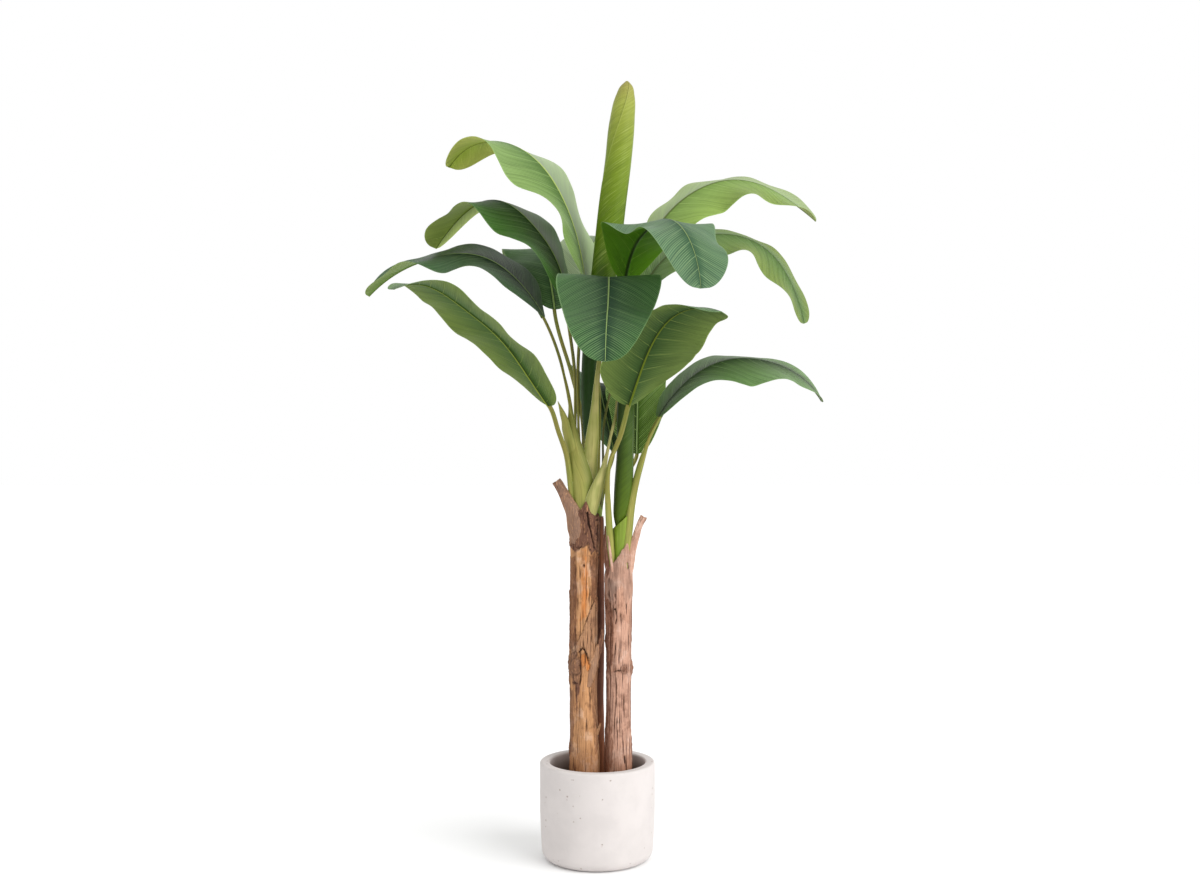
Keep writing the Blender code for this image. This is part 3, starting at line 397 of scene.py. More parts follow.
class BarkSizes(bpy.types.PropertyGroup):
    """Fineness and colours of the bark"""
    around: IntProperty(name="Points Around", description="Points around a trunk", default=176, min=24)
    rings: IntProperty(name="Rings", description="Rings up a trunk", default=300, min=24)
    foot: length("Foot", "Height of the trunks' feet in the soil", 0.0503)
    tan: tint("Tan", "Colour of the left trunk's bare bark", (0.790, 0.585, 0.410))
    rose: tint("Rose", "Colour of the right trunk's bare bark", (0.800, 0.620, 0.530))
    orange: tint("Orange", "Colour of the fresh inner bark", (0.790, 0.480, 0.230))
    grey: tint("Grey", "Colour of the weathered plates", (0.520, 0.420, 0.370))
    brown: tint("Brown", "Colour of the rough outer bark", (0.420, 0.255, 0.180))
    # This crack colour also paints shade in the trunks' sockets and just outside sharp plate edges.
    dark: tint("Crack", "Colour in the cracks", (0.190, 0.110, 0.080))
    smooth: tint("Rear Trunk", "Colour of the smooth rear trunk", (0.430, 0.280, 0.220))


class LeafSizes(bpy.types.PropertyGroup):
    """Sizes of the blades and stalks, and the colours they share"""
    half_width: length("Half Width", "Half the width of an ordinary blade", 0.100)
    thickness: length("Thickness", "Thickness of a blade", 0.0009)
    rib_depth: length("Rib Depth", "How far the midrib stands out below, at the base", 0.0062)
    rows: IntProperty(name="Rows", description="Points along a blade", default=190, min=20)
    sheath: tint("Sheath", "Colour of the sheaths", (0.600, 0.590, 0.300))
    stalk: tint("Stalk", "Colour of the stalks", (0.500, 0.475, 0.205))


class StageSizes(bpy.types.PropertyGroup):
    """The view and the light"""
    lens: FloatProperty(name="Lens", description="Focal length in millimetres", default=39.9)
    camera: FloatVectorProperty(name="Camera", description="Where the camera stands", subtype="TRANSLATION",
                                default=(0.006, -3.086, 0.949))
    floor_grey: FloatProperty(name="Floor", description="Lightness of the floor", default=0.96, min=0, max=1)
    room: FloatProperty(name="Room", description="Strength of the white surroundings", default=1.0)
    key: FloatProperty(name="Key", description="Strength of the large soft key light", default=2.0)


def linear(channel):
    """One sRGB channel in linear light."""
    return channel / 12.92 if channel <= 0.04045 else ((channel + 0.055) / 1.055) ** 2.4


def colour(value):
    """A linear RGBA colour from an sRGB hex string or triple."""
    if isinstance(value, str):
        value = [int(value[i:i + 2], 16) / 255 for i in (1, 3, 5)]
    return (*(linear(channel) for channel in value), 1.0)


def scaled(shade, share):
    """A darker or lighter colour, in linear light."""
    return tuple(min(1.0, share * channel) for channel in shade[:3]) + (1.0,)


def between(first, second, share):
    """A colour that lies at a share of the way from the first to the second."""
    return tuple((1 - share) * one + share * other for one, other in zip(first, second))


def new_material(name, roughness, ior=1.45, specular=0.5):
    """A Principled material with its constants set on the shader's own sockets."""
    material = bpy.data.materials.new(name)
    material.use_nodes = True
    sockets = material.node_tree.nodes["Principled BSDF"].inputs
    for key, value in (("Roughness", roughness), ("IOR", ior), ("Specular IOR Level", specular)):
        sockets[key].default_value = value
    return material


def add_node(material, kind, inputs=(), **settings):
    """Adds a shader node, sets its fields, fills its inputs and gives its outputs.

    The inputs are a tuple in the sockets' order, or a dict by socket. Each one is a number, a vector, another
    node's output, a colour's hex string, or the name of a value that the mesh carries at each point.
    """
    node = material.node_tree.nodes.new("ShaderNode" + kind)
    for field, value in settings.items():
        setattr(node, field, value)
    for key, value in (inputs if isinstance(inputs, dict) else dict(enumerate(inputs))).items():
        if isinstance(value, str) and not value.startswith("#"):
            value = add_node(material, "Attribute", attribute_name=value)["Fac"]
        if isinstance(value, bpy.types.NodeSocket):
            material.node_tree.links.new(value, node.inputs[key])
        else:
            node.inputs[key].default_value = colour(value) if isinstance(value, str) else value
    return node.outputs


def product(material, *factors):
    """The product of factors. One written as (output, low, high) is eased from 0 at low to 1 at high."""
    result = 1.0
    for factor in factors:
        if isinstance(factor, tuple):
            limits = dict(zip(("Value", "From Min", "From Max"), factor))
            factor = add_node(material, "MapRange", limits, interpolation_type="SMOOTHSTEP")[0]
        result = add_node(material, "Math", (factor, result), operation="MULTIPLY")[0]
    return result


def total(material, *terms):
    """The sum of terms, each of them a product of factors."""
    result = 0.0
    for term in terms:
        result = add_node(material, "Math", (product(material, *term), result), operation="ADD")[0]
    return result


def layered(material, base, *layers):
    """Lays colours over a base one after the other; the product of a layer's factors says how much of it
    shows."""
    for shade, *factors in layers:
        share = product(material, *factors)
        base = add_node(material, "Mix", {0: share, 6: base, 7: shade}, data_type="RGBA")[2]
    return base


def grain(material, place, cells, detail=2.0, roughness=0.5):
    """Noise with so many cells in a metre, the same number all ways or one each along x, y and z."""
    cells = cells if isinstance(cells, tuple) else (cells, cells, cells)
    place = add_node(material, "VectorMath", (place, cells), operation="MULTIPLY")[0]
    inputs = {"Vector": place, "Scale": 1.0, "Detail": detail, "Roughness": roughness}
    return add_node(material, "TexNoise", inputs)[0]


def finished(material, base, height, depth):
    """Gives a material its colour and its fine relief, which is so many metres deep for a height of 1."""
    relief = add_node(material, "Bump", {"Height": height, "Strength": 1.0, "Distance": depth})[0]
    sockets = material.node_tree.nodes["Principled BSDF"].inputs
    material.node_tree.links.new(base, sockets["Base Color"])
    material.node_tree.links.new(relief, sockets["Normal"])
    return material


def cement_material(sizes):
    """Cast cement: a matt skin left by the mould, faintly mottled, with small round air pits and darker
    specks."""
    material = new_material("cast cement", 0.82, 1.5)
    place = add_node(material, "TexCoord")["Object"]
    mottling = grain(material, place, 14.0, 4.0, 0.6)
    fine = grain(material, place, 420.0, 2.0, 0.6)
    warp = add_node(material, "TexNoise", {"Vector": place, "Scale": 160.0})["Color"]
    shifted = add_node(material, "Mix", {0: 0.004, 4: place, 5: warp}, data_type="VECTOR")[1]
    # Pits of about 2 mm, one to every 16 mm or so, and only some of the cells have one
    cells = add_node(material, "TexVoronoi", {"Vector": shifted, "Scale": 62.0})
    chosen = add_node(material, "SeparateColor", (cells["Color"],))[0]
    edge = total(material, (cells["Distance"],), (-0.13, (chosen, 0.40, 1.0)))
    pit = product(material, (edge, 0.05, -0.02), (chosen, 0.42, 0.52))
    pale = colour(sizes.cement)
    # The inner mark lays painted shade on the inner wall, darker further down into the pot.
    base = layered(material, pale, (scaled(pale, 0.93), (mottling, 0.35, 0.70)),
                   (colour(sizes.pits), 0.70, pit), (colour(sizes.painted_inner_shade), "inner"))
    return finished(material, base, total(material, (0.12, fine), (-1.0, pit)), 0.0007)


def compost_material(sizes):
    """Potting compost: damp, crumbly bark and peat, very rough, with paler fibres."""
    material = new_material("potting compost", 0.95)
    crumbs = grain(material, add_node(material, "TexCoord")["Object"], 260.0, 4.0, 0.7)
    dark = colour(sizes.earth)
    base = layered(material, dark, (scaled(dark, 2.6), (crumbs, 0.42, 0.72)))
    return finished(material, base, crumbs, 0.0025)


def bark_material(name, sizes, bare, rough=1.0, bleach=0.4):
    """Dry fibrous bark: upright fibres about 1 mm wide, orange where fresh, grey on old plates, dark in
    cracks and in painted shade in the sockets and beside sharp plate edges."""
    material = new_material(name, 0.88, specular=0.25)
    place = add_node(material, "TexCoord")["Object"]
    fibres = grain(material, place, (560.0, 560.0, 28.0), 4.0, 0.65)
    broad = grain(material, place, (84.0, 84.0, 4.2), 4.0, 0.58)
    flecks = grain(material, place, (330.0, 330.0, 99.0), 4.0, 0.72)
    checks = grain(material, place, (250.0, 250.0, 11.25), 3.0, 0.50)
    clouds = grain(material, place, 24.0, 4.0, 0.62)
    base, brown = colour(bare), colour(sizes.brown)
    dark, pale = scaled(brown, 0.35), scaled(base, 1.35)
    rugged = ("smooth", 1.0, 0.0)
    skin = layered(
        material, base,
        (scaled(base, 0.46), 0.72, (broad, 0.47, 0.66)),
        (between(scaled(base, 1.28), colour("#e0d0c4"), bleach), 0.62, (clouds, 0.52, 0.66)),
        (brown, 0.55, (clouds, 0.46, 0.32)),
        (colour(sizes.orange), "orange", (broad, 0.70, 0.48)),
        (brown, "brown", (clouds, 0.20, 0.48)),
        (colour(sizes.grey), 0.85, "grey"),
        ("#8a4f2b", 0.75, "low"),
        (dark, 0.42 * rough, (fibres, 0.52, 0.70)),
        (pale, 0.60 * rough, (fibres, 0.46, 0.32)),
        (dark, 0.36 * rough, (flecks, 0.60, 0.70), rugged),
        (dark, 0.85 * rough, (checks, 0.57, 0.65), rugged),
        (colour(sizes.dark), "crack"))
    height = total(material, (-1.0, fibres), (-0.5, flecks), (-1.2, checks))
    return finished(material, skin, height, 0.0030 * rough)


def strips(material, vein, side, spacing, seed, width, wander):
    """Uneven strips of a mean width of spacing metres: 1 on the lines between them, and each strip's random
    tone."""
    steps = total(material, (1 / spacing, vein), (17.3 + seed, side))
    inputs = {"W": steps, "Scale": 1.0, "Randomness": wander}
    lines, tones = (add_node(material, "TexVoronoi", inputs, voronoi_dimensions="1D", feature=feature)
                    for feature in ("DISTANCE_TO_EDGE", "F1"))
    tone = add_node(material, "SeparateColor", (tones["Color"],))[0]
    return product(material, (lines["Distance"], width / spacing, 0.0)), tone


def blade_material(name, leaf, under):
    """Living leaf skin, waxed above and duller below: strips of uneven tone 6 mm wide between fine pale side
    veins, a few stronger ones, a pale midrib between grooves darkened with painted shade, a thin paler edge,
    and above, a half made paler with a painted sheen or darker with a painted shade where a leaf asks for it."""
    material = new_material(name, 0.52 if under else 0.46, 1.36, 0.10 if under else 0.24)
    surface = add_node(material, "UVMap", uv_map="surface")[0]
    along, across = add_node(material, "SeparateXYZ", (surface,))[:2]
    away = add_node(material, "Math", (across,), operation="ABSOLUTE")[0]
    side = add_node(material, "Math", (across,), operation="SIGN")[0]
    # Side veins leave the midrib on a slant and bend further towards the tip
    vein = total(material, (along,), (-leaf.get("slant", 0.80), away), (-2.2, away, away))
    spot = add_node(material, "CombineXYZ", (vein, away, side))[0]
    wide = grain(material, spot, (36.0, 9.0, 5.0), 3.0, 0.55)
    fine, tone = strips(material, vein, side, 0.0056, 0.0, 0.0020, 0.45)
    strong, reach_end = strips(material, vein, side, 0.0360, 3.0, 0.0013, 1.0)
    colours = leaf["colours"][3:] + leaf["colours"][4:] if under else leaf["colours"][:3]
    inner, outer, far = (colour(shade) for shade in colours)
    edge = layered(material, outer, (far, ("place", 0.30, 0.62)))
    dark = scaled(inner, 0.45)
    light = between(scaled(outer, 1.6), colour("#b4bf6e" if under else "#b2c592"), 0.32)
    # A paler grey half is a painted sheen, a darker half a painted shade.
    painted_sheen_and_shade = [("#c6cbbc" if amount > 0 else "#1c3312", abs(amount), (side, 0.0, half))
             for half, amount in zip((1.0, -1.0), () if under else leaf.get("cast", ()))]
    veins = leaf.get("veins", 1.0)
    weak, firm = (0.12 * veins, 0.55 * veins) if under else (0.55 * veins, 0.65 * veins)
    # A strong vein runs part of the way only, as far as its own random tone says
    ends = (total(material, ("reach",), (-1.0, reach_end)), 0.35, 0.05)
    middle = math.exp(-(0.715 * (0.9 if under else leaf.get("rib", 0.75))) ** 2)
    rib = leaf.get("rib_under", "#6f7c2a") if under else leaf.get("rib_light", "#8aa363")
    base = layered(
        material, inner,
        (edge, ("reach", 0.05, 0.95)),
        (dark, 0.34, (wide, 0.46, 0.72)),
        (dark, 0.10 if under else 0.22, tone),
        *painted_sheen_and_shade,
        (light, weak, fine, ("reach", 0.02, 0.30), (tone, 1.6, 0.1)),
        (light, firm, strong, ends),
        (light, 0.55, ("reach", 0.968, 0.990)),
        # Painted shade in the grooves on both sides of the midrib.
        (scaled(inner, 0.32), 0.75, ("rib", 0.15, 0.45)),
        (rib, ("rib", middle - 0.08, middle + 0.08)))
    height = total(material, (0.40 if under else -0.60, fine), (0.30, tone), (0.9 if under else 0.5, strong))
    return finished(material, base, height, 0.0006)


def stalk_material(name, foot, top):
    """Smooth sheath and stalk skin: fine lengthwise fibres, yellow-green at the foot and olive above, painted
    shade that darkens broad sheaths towards their margins, and pale margins."""
    material = new_material(name, 0.46, 1.42, 0.35)
    surface = add_node(material, "UVMap", uv_map="surface")[0]
    fibres = grain(material, surface, (9.0, 700.0, 0.0), 3.0, 0.6)
    clouds = grain(material, surface, (14.0, 60.0, 0.0))
    base = layered(
        material, colour(foot),
        (colour(top), ("rise", 0.05, 0.75)),
        ("#c8bf82", 0.55, ("tone", 0.5, 1.0)),
        ("#3a3a16", 0.80, ("tone", 0.5, 0.0)),
        ("#6c7a2a", 0.55, (clouds, 0.40, 0.66)),
        ("#5a5a1c", 0.38, (fibres, 0.48, 0.68)),
        ("#c0be6c", 0.40, (fibres, 0.42, 0.30)),
        # Broad sheaths grow darker towards both margins: painted shade where they curve away.
        ("#6a762a", 0.60, ("margin", 0.25, 0.96)),
        ("#c9c793", 0.75, ("margin", 0.965, 0.995)))
    return finished(material, base, fibres, 0.0004)


def roll_material(name, roll):
    """A young leaf's outer skin: soft slanting veins from the seam, dark low down and paler towards the
    tip, with painted shade down one side of the roll."""
    material = new_material(name, 0.42, 1.42, 0.18)
    surface = add_node(material, "UVMap", uv_map="surface")[0]
    along, across = add_node(material, "SeparateXYZ", (surface,))[:2]
    spot = add_node(material, "CombineXYZ", (total(material, (along,), (-0.85, across)), across))[0]
    streaks = grain(material, spot, (360.0, 16.0, 0.0), 3.0, 0.65)
    wide = grain(material, spot, (42.0, 10.0, 0.0))
    base = add_node(material, "ValToRGB", ("rise",))[0]
    elements = base.node.color_ramp.elements
    while len(elements) < len(roll["stops"]):
        elements.new(0.5)
    for element, (position, shade) in zip(elements, roll["stops"]):
        element.position = position
        element.color = colour(shade)
    light = layered(material, base, ("#c3cd7c", 0.40))
    dark = layered(material, base, ("#16250a", 0.60))
    # From start to end round the roll, one side is darkened with painted shade.
    start, full, fading, end, share = roll["shaded"]
    skin = layered(
        material, base,
        (dark, 0.30, (wide, 0.48, 0.75)),
        (dark, 0.40, (streaks, 0.50, 0.36)),
        (light, roll["veins"], ("rise", 0.22, 0.55), (streaks, 0.52, 0.68)),
        (dark, share, ("turn", start, full), ("turn", end, fading)),
        (light, 0.55, ("margin", 0.4, 0.9)))
    return finished(material, skin, streaks, 0.0006)


def metres(value):
    """Millimetres in metres, for a number or for all the numbers in nested tuples."""
    return value / 1000 if isinstance(value, (int, float)) else tuple(metres(item) for item in value)


def in_metres(entry):
    """A table's entry with its lengths in metres."""
    return {key: metres(value) if key in LENGTHS else value for key, value in entry.items()}


def stations(values, shares):
    """Which pair of even stations each share lies between, and how far along from the first to the second."""
    spot = shares * (len(values) - 1)
    index = np.clip(spot.astype(int), 0, len(values) - 2)
    return index, spot - index


def eased(t):
    """The curve 3t^2 - 2t^3 from 0 to 1."""
    return t * t * (3 - 2 * t)


def ease(values, shares):
    """Eases from one value to the next at even stations."""
    values = np.asarray(values, float)
    index, t = stations(values, shares)
    t = eased(t)
    return values[index] * (1 - t) + values[index + 1] * t


def hermite(start, end, start_slope, end_slope, t):
    """The cubic that leaves start with start_slope and reaches end with end_slope as t runs from 0 to 1."""
    blend = (2 * t**3 - 3 * t**2 + 1) * start + (t**3 - 2 * t**2 + t) * start_slope
    return blend + (3 * t**2 - 2 * t**3) * end + (t**3 - t**2) * end_slope


def through(values, shares):
    """A smooth curve through values at even stations, with slopes from the neighbours."""
    values = np.asarray(values, float)
    slopes = np.gradient(values, axis=0)
    index, t = stations(values, shares)
    t = t.reshape((-1,) + (1,) * (values.ndim - 1))
    return hermite(values[index], values[index + 1], slopes[index], slopes[index + 1], t)


def smooth_table(places, known, values):
    """Values read off at places between known stations, by cubics whose slopes come from the neighbours."""
    known, values = np.asarray(known, float), np.asarray(values, float)
    slopes = np.gradient(values, known)
    index = np.clip(np.searchsorted(known, places, side="right") - 1, 0, len(known) - 2)
    gap = known[index + 1] - known[index]
    t = np.clip((places - known[index]) / gap, 0, 1)
    return hermite(values[index], values[index + 1], gap * slopes[index], gap * slopes[index + 1], t)


def unit(vectors):
    """Vectors of length 1."""
    return vectors / np.maximum(np.linalg.norm(vectors, axis=-1, keepdims=True), 1e-12)


def run_along(points):
    """The distance covered so far at each point of a line."""
    return np.concatenate([[0], np.cumsum(np.linalg.norm(np.diff(points, axis=0), axis=1))])


def joined(*values):
    """Points or pairs from their coordinates, each spread over the whole grid."""
    return np.stack(np.broadcast_arrays(*values), -1)


def carried(path, *moves):
    """Points set off from a path by distances along vectors, given as (distance, vector) pairs."""
    points = path[:, None]
    for distance, vector in moves:
        points = points + distance[..., None] * vector[:, None]
    return points


def bell(values, width=1.0):
    """A bell curve: 1 at 0, and 1/e a width away from it."""
    return np.exp(-(values / width) ** 2)


def speckle(turn, height, around, tall, seed):
    """Smooth random values from -1 to 1 on a wrapped grid: around cells in a turn, each tall metres high.

    A seeded table holds one value a cell corner, and 3t^2 - 2t^3 blends the four nearest.
    """
    rows = 2 + int(NOISE_TOP / tall)
    table = np.random.default_rng(seed).uniform(-1, 1, (rows, around))
    a = (turn % 1.0) * around
    b = np.clip(height / tall, 0, rows - 1.001)
    i, j = a.astype(int) % around, b.astype(int)
    s, t = eased(a - np.floor(a)), eased(b - j)
    near, far = (table[row, i] * (1 - s) + table[row, (i + 1) % around] * s for row in (j, j + 1))
    return near * (1 - t) + far * t


def grid_faces(rows, columns, wrap):
    """Corner numbers of the quads of a grid, and the same with the wrapped column numbered on for the UVs."""
    r, c = np.indices((rows - 1, columns if wrap else columns - 1)).reshape(2, -1)

    def corners(wide, after):
        return np.stack([r * wide + c, r * wide + after, (r + 1) * wide + after, (r + 1) * wide + c], 1)

    return corners(columns, (c + 1) % columns), corners(columns + 1 if wrap else columns, c + 1)


def fan(rows, columns, last):
    """Triangles from an added middle point to the first or last ring of a wrapped grid."""
    c = np.arange(columns)
    ring = (rows - 1) * columns if last else 0
    middle = rows * columns + (1 if last else 0)
    corners = np.stack([np.full(columns, middle), ring + c, ring + (c + 1) % columns], 1)
    start = (rows - 1) * (columns + 1) if last else 0
    flat = np.stack([start + c, start + c, start + c + 1], 1)
    return (corners, flat) if last else (corners[:, ::-1], flat[:, ::-1])


def mesh_object(name, parts, materials, sharp=50):
    """Makes one smooth-shaded object from grids of points.

    Each part holds points (rows, columns, 3), uv (rows, columns or columns + 1, 2) in metres, wrap, an
    optional material number for each column, and optional values for each point under marks. A wrapped grid
    gets a fan at both ends. A part whose volume comes out negative is turned round, so faces point outwards.
    """
    points, sizes, corners, uvs, slots, marks, base = [], [], [], [], [], {}, 0
    keys = sorted({key for part in parts for key in part.get("marks", {})})
    for part in parts:
        grid = part["points"]
        rows, columns = grid.shape[:2]
        wrap = part.get("wrap", True)
        flat_points = grid.reshape(-1, 3)
        quads, quad_uvs = grid_faces(rows, columns, wrap)
        groups = [(quads, quad_uvs)]
        if wrap:
            flat_points = np.vstack([flat_points, grid[0].mean(0), grid[-1].mean(0)])
            groups += [fan(rows, columns, False), fan(rows, columns, True)]
        a, b, c, d = (flat_points[quads[:, corner]] - flat_points.mean(0) for corner in range(4))
        volume = (np.cross(b, c) * a).sum() + (np.cross(c, d) * a).sum()
        uv = part["uv"].reshape(-1, 2)
        for number, (faces, flat) in enumerate(groups):
            if volume < 0:
                faces, flat = faces[:, ::-1], flat[:, ::-1]
            corners.append((faces + base).ravel())
            sizes.append(np.full(len(faces), faces.shape[1]))
            uvs.append(uv[flat].reshape(-1, 2))
            if "slots" in part and number == 0:
                slots.append(np.tile(part["slots"], rows - 1))
            else:
                slots.append(np.full(len(faces), part.get("slot", 0)))
        for key in keys:
            values = np.broadcast_to(part.get("marks", {}).get(key, 0.0), (rows, columns)).ravel()
            extra = [values[:columns].mean(), values[-columns:].mean()] if wrap else []
            marks.setdefault(key, []).append(np.concatenate([values, extra]))
        points.append(flat_points)
        base += len(flat_points)
    points, corners, sizes = np.concatenate(points), np.concatenate(corners), np.concatenate(sizes)
    starts = np.concatenate([[0], np.cumsum(sizes)[:-1]])
    mesh = bpy.data.meshes.new(name)
    mesh.vertices.add(len(points))
    mesh.loops.add(len(corners))
    mesh.polygons.add(len(sizes))
    mesh.vertices.foreach_set("co", points.ravel().astype(np.float32))
    mesh.loops.foreach_set("vertex_index", corners.astype(np.int32))
    mesh.polygons.foreach_set("loop_start", starts.astype(np.int32))
    mesh.polygons.foreach_set("material_index", np.concatenate(slots).astype(np.int32))
    surface = mesh.uv_layers.new(name="surface")
    surface.uv.foreach_set("vector", np.concatenate(uvs).ravel().astype(np.float32))
    for key in keys:
        layer = mesh.attributes.new(key, "FLOAT", "POINT")
        layer.data.foreach_set("value", np.concatenate(marks[key]).astype(np.float32))
    mesh.update(calc_edges=True)
    mesh.validate()
    for material in materials:
        mesh.materials.append(material)
    mesh.shade_smooth()
    mesh.set_sharp_from_angle(angle=math.radians(sharp))
    thing = bpy.data.objects.new(name, mesh)
    bpy.context.scene.collection.objects.link(thing)
    return thing


def stand_for(piece, slot, *nodes):
    """Puts a finished piece on the model in place of its nodes."""
    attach(piece, "root")
    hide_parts(*nodes)


def ringed(x, y, radii, angle, heights):
    """Points at a radius and an angle round an upright axis."""
    return joined(x + radii * np.cos(angle), y + radii * np.sin(angle), heights)


def turned_surface(profile, sides, waver=None):
    """A profile of (radius, height) points carried round the upright axis, with an optional waver of its
    radius."""
    profile = np.asarray(profile, float)
    turn = np.arange(sides)[None, :] / sides
    radii, heights = profile[:, :1], profile[:, 1:]
    if waver is not None:
        radii = radii * (1 + waver(turn, heights))
    around = np.linspace(0, 1, sides + 1) * 2 * np.pi * profile[:, 0].max()
    return ringed(0, 0, radii, 2 * np.pi * turn, heights), joined(run_along(profile)[:, None], around)


def rounded(centre, radius, first, last, steps):
    """Points of an arc in the (radius, height) plane, from one angle to another in degrees."""
    angles = np.radians(np.linspace(first, last, steps + 1))
    return np.stack([centre[0] + radius * np.cos(angles), centre[1] + radius * np.sin(angles)], 1)


def on_trunk(places, radius):
    """(Compass angle, height) pairs as points on the unrolled trunk, in metres from its front."""
    return np.array([(math.radians(angle + 90) * radius, height) for angle, height in places])


def leg_distance(across, heights, start, end):
    """Distance to the straight line between two points."""
    x, y = end - start
    share = ((across - start[0]) * x + (heights - start[1]) * y) / (x**2 + y**2 + 1e-12)
    share = np.clip(share, 0, 1)
    return np.hypot(across - start[0] - share * x, heights - start[1] - share * y)


def line_distance(across, heights, line, radius):
    """Nearest distance to a line of (compass angle, height) pairs, in metres."""
    corners = on_trunk(line, radius)
    return np.minimum.reduce([leg_distance(across, heights, *leg) for leg in zip(corners[:-1], corners[1:])])


def outline_depth(across, heights, outline, radius):
    """How deep each point lies inside an outline of (compass angle, height) pairs, negative outside, in
    metres.

    The nearest distance to each side is kept, and a crossing count along the height tells inside from
    outside.
    """
    corners = on_trunk(outline, radius)
    crossings = np.zeros(across.shape, int)
    for (x0, y0), (x1, y1) in zip(corners, np.roll(corners, -1, axis=0)):
        spans = (heights < y0) != (heights < y1)
        reach = x0 + (heights - y0) * (x1 - x0) / (y1 - y0 + (1e-12 if y1 == y0 else 0))
        crossings += spans & (across < reach)
    nearest = line_distance(across, heights, (*outline, outline[0]), radius)
    return np.where(crossings % 2 == 1, nearest, -nearest)


def wrapped(function, across, heights, line, radius, best):
    """A distance measured at three turns of the unrolled trunk, so that outlines may pass the back."""
    lap = 2 * np.pi * radius
    return best.reduce([function(across + shift, heights, line, radius) for shift in (-lap, 0.0, lap)])


def bark_relief(side, turn, heights):
    """Height of the bark over the trunk's radius, how grey, orange, brown and cracked it is, and where
    painted shade lies just outside the sharp edges of plates.

    Broad swells, fibres drawn out lengthwise and coarse crumbs are added, then each plate lifts what lies
    inside its ragged outline, with a step about 1 mm wide. Each knot adds a bell-shaped swelling with rings,
    and each split cuts a groove that falls off as a bell curve.
    """
    trunk = TRUNKS[side]
    radius = trunk["radius"]
    step = PLATE_STEP

    def random(number, around, tall, shift=0.0):
        return speckle(turn + shift, heights, around, tall, trunk["seed"] + number)

    across = ((turn - 0.25) % 1.0 - 0.5) * 2 * np.pi * radius + 0 * heights
    ragged = 0.0035 * random(0, 24, 0.012) + 0.0015 * random(1, 60, 0.006)
    fibre = random(4, 46, 0.070, 0.02 * np.sin(heights * 9))
    thread = random(5, 88, 0.035)
    crumbs = random(6, 52, 0.0045)
    relief = 0.0017 * random(2, 4, 0.12) + 0.0011 * random(3, 11, 0.045)
    relief = relief + 0.0006 * fibre + 0.00028 * thread
    tones = dict(grey=0.18 * (random(7, 7, 0.060) > 0.45), orange=0.25 * np.clip(random(8, 6, 0.14), 0, 1),
                 brown=0.35 * np.clip(random(9, 6, 0.09), 0, 1), smooth=0 * across)
    crack = np.clip(-fibre - 0.55, 0, 1) * 1.3
    for plate in BARK_PLATES[side]:
        depth = wrapped(outline_depth, across, heights, plate["outline"], radius, np.maximum) + ragged
        inside = np.clip(depth / plate.get("soft", 0.0011) + 0.5, 0, 1)
        coarse = plate.get("coarse", 0.0)
        curl = np.exp(-np.abs(depth - 0.001) / 0.0022) * (depth > 0) * (plate["lift"] > step)
        relief = relief + plate["lift"] * inside + 0.0011 * coarse * inside * crumbs + 0.0008 * curl
        for key, tone in tones.items():
            tones[key] = tone * (1 - inside) + plate.get(key, 0.0) * inside
        # Painted shadow falls just outside each sharp plate edge, darkest right beside it.
        under = bell(np.clip(-depth, 0, 1), 0.0016) * (depth < 0) * (abs(plate["lift"]) > step)
        crack = np.maximum(crack, 0.60 * under)
        crack = np.maximum(crack, coarse * inside * np.clip(-crumbs - 0.30, 0, 1) * 1.6)
    for angle, height, half, tall, out in KNOTS[side]:
        offset = math.radians((angle + 90 + 180) % 360 - 180) * radius
        near = wrapped(lambda x, y, *_: np.hypot((x - offset) / half, (y - height) / tall),
                       across, heights, None, radius, np.minimum)
        relief = relief + out * bell(near) + 0.0008 * np.cos(near * 7.5) * bell(near, 1.4)
        rings = bell(near - 1.05, 0.11) + 0.6 * bell(near - 0.60, 0.07)
        crack = np.maximum(crack, 0.80 * rings * (0.6 + 0.4 * thread))
        tones["brown"] = np.maximum(tones["brown"], 0.8 * bell(near, 1.2))
    for split in BARK_SPLITS[side]:
        distance = wrapped(line_distance, across, heights, split["line"], radius, np.minimum)
        groove = bell(distance + 0.25 * ragged, split["half"])
        relief = relief - split["depth"] * groove
        crack = np.maximum(crack, np.clip(groove * 1.3, 0, 1))
    if side == "back":
        relief, crack = relief * 0.5, crack * 0.6
        tones.update(grey=0.3 * tones["grey"], brown=0 * across)
    low = 1 - np.clip((heights - 0.17) / 0.10, 0, 1)
    above_soil = np.clip((heights - 0.150) / 0.03, 0, 1)
    return relief * above_soil, dict(tones, crack=np.clip(crack, 0, 1), low=low)


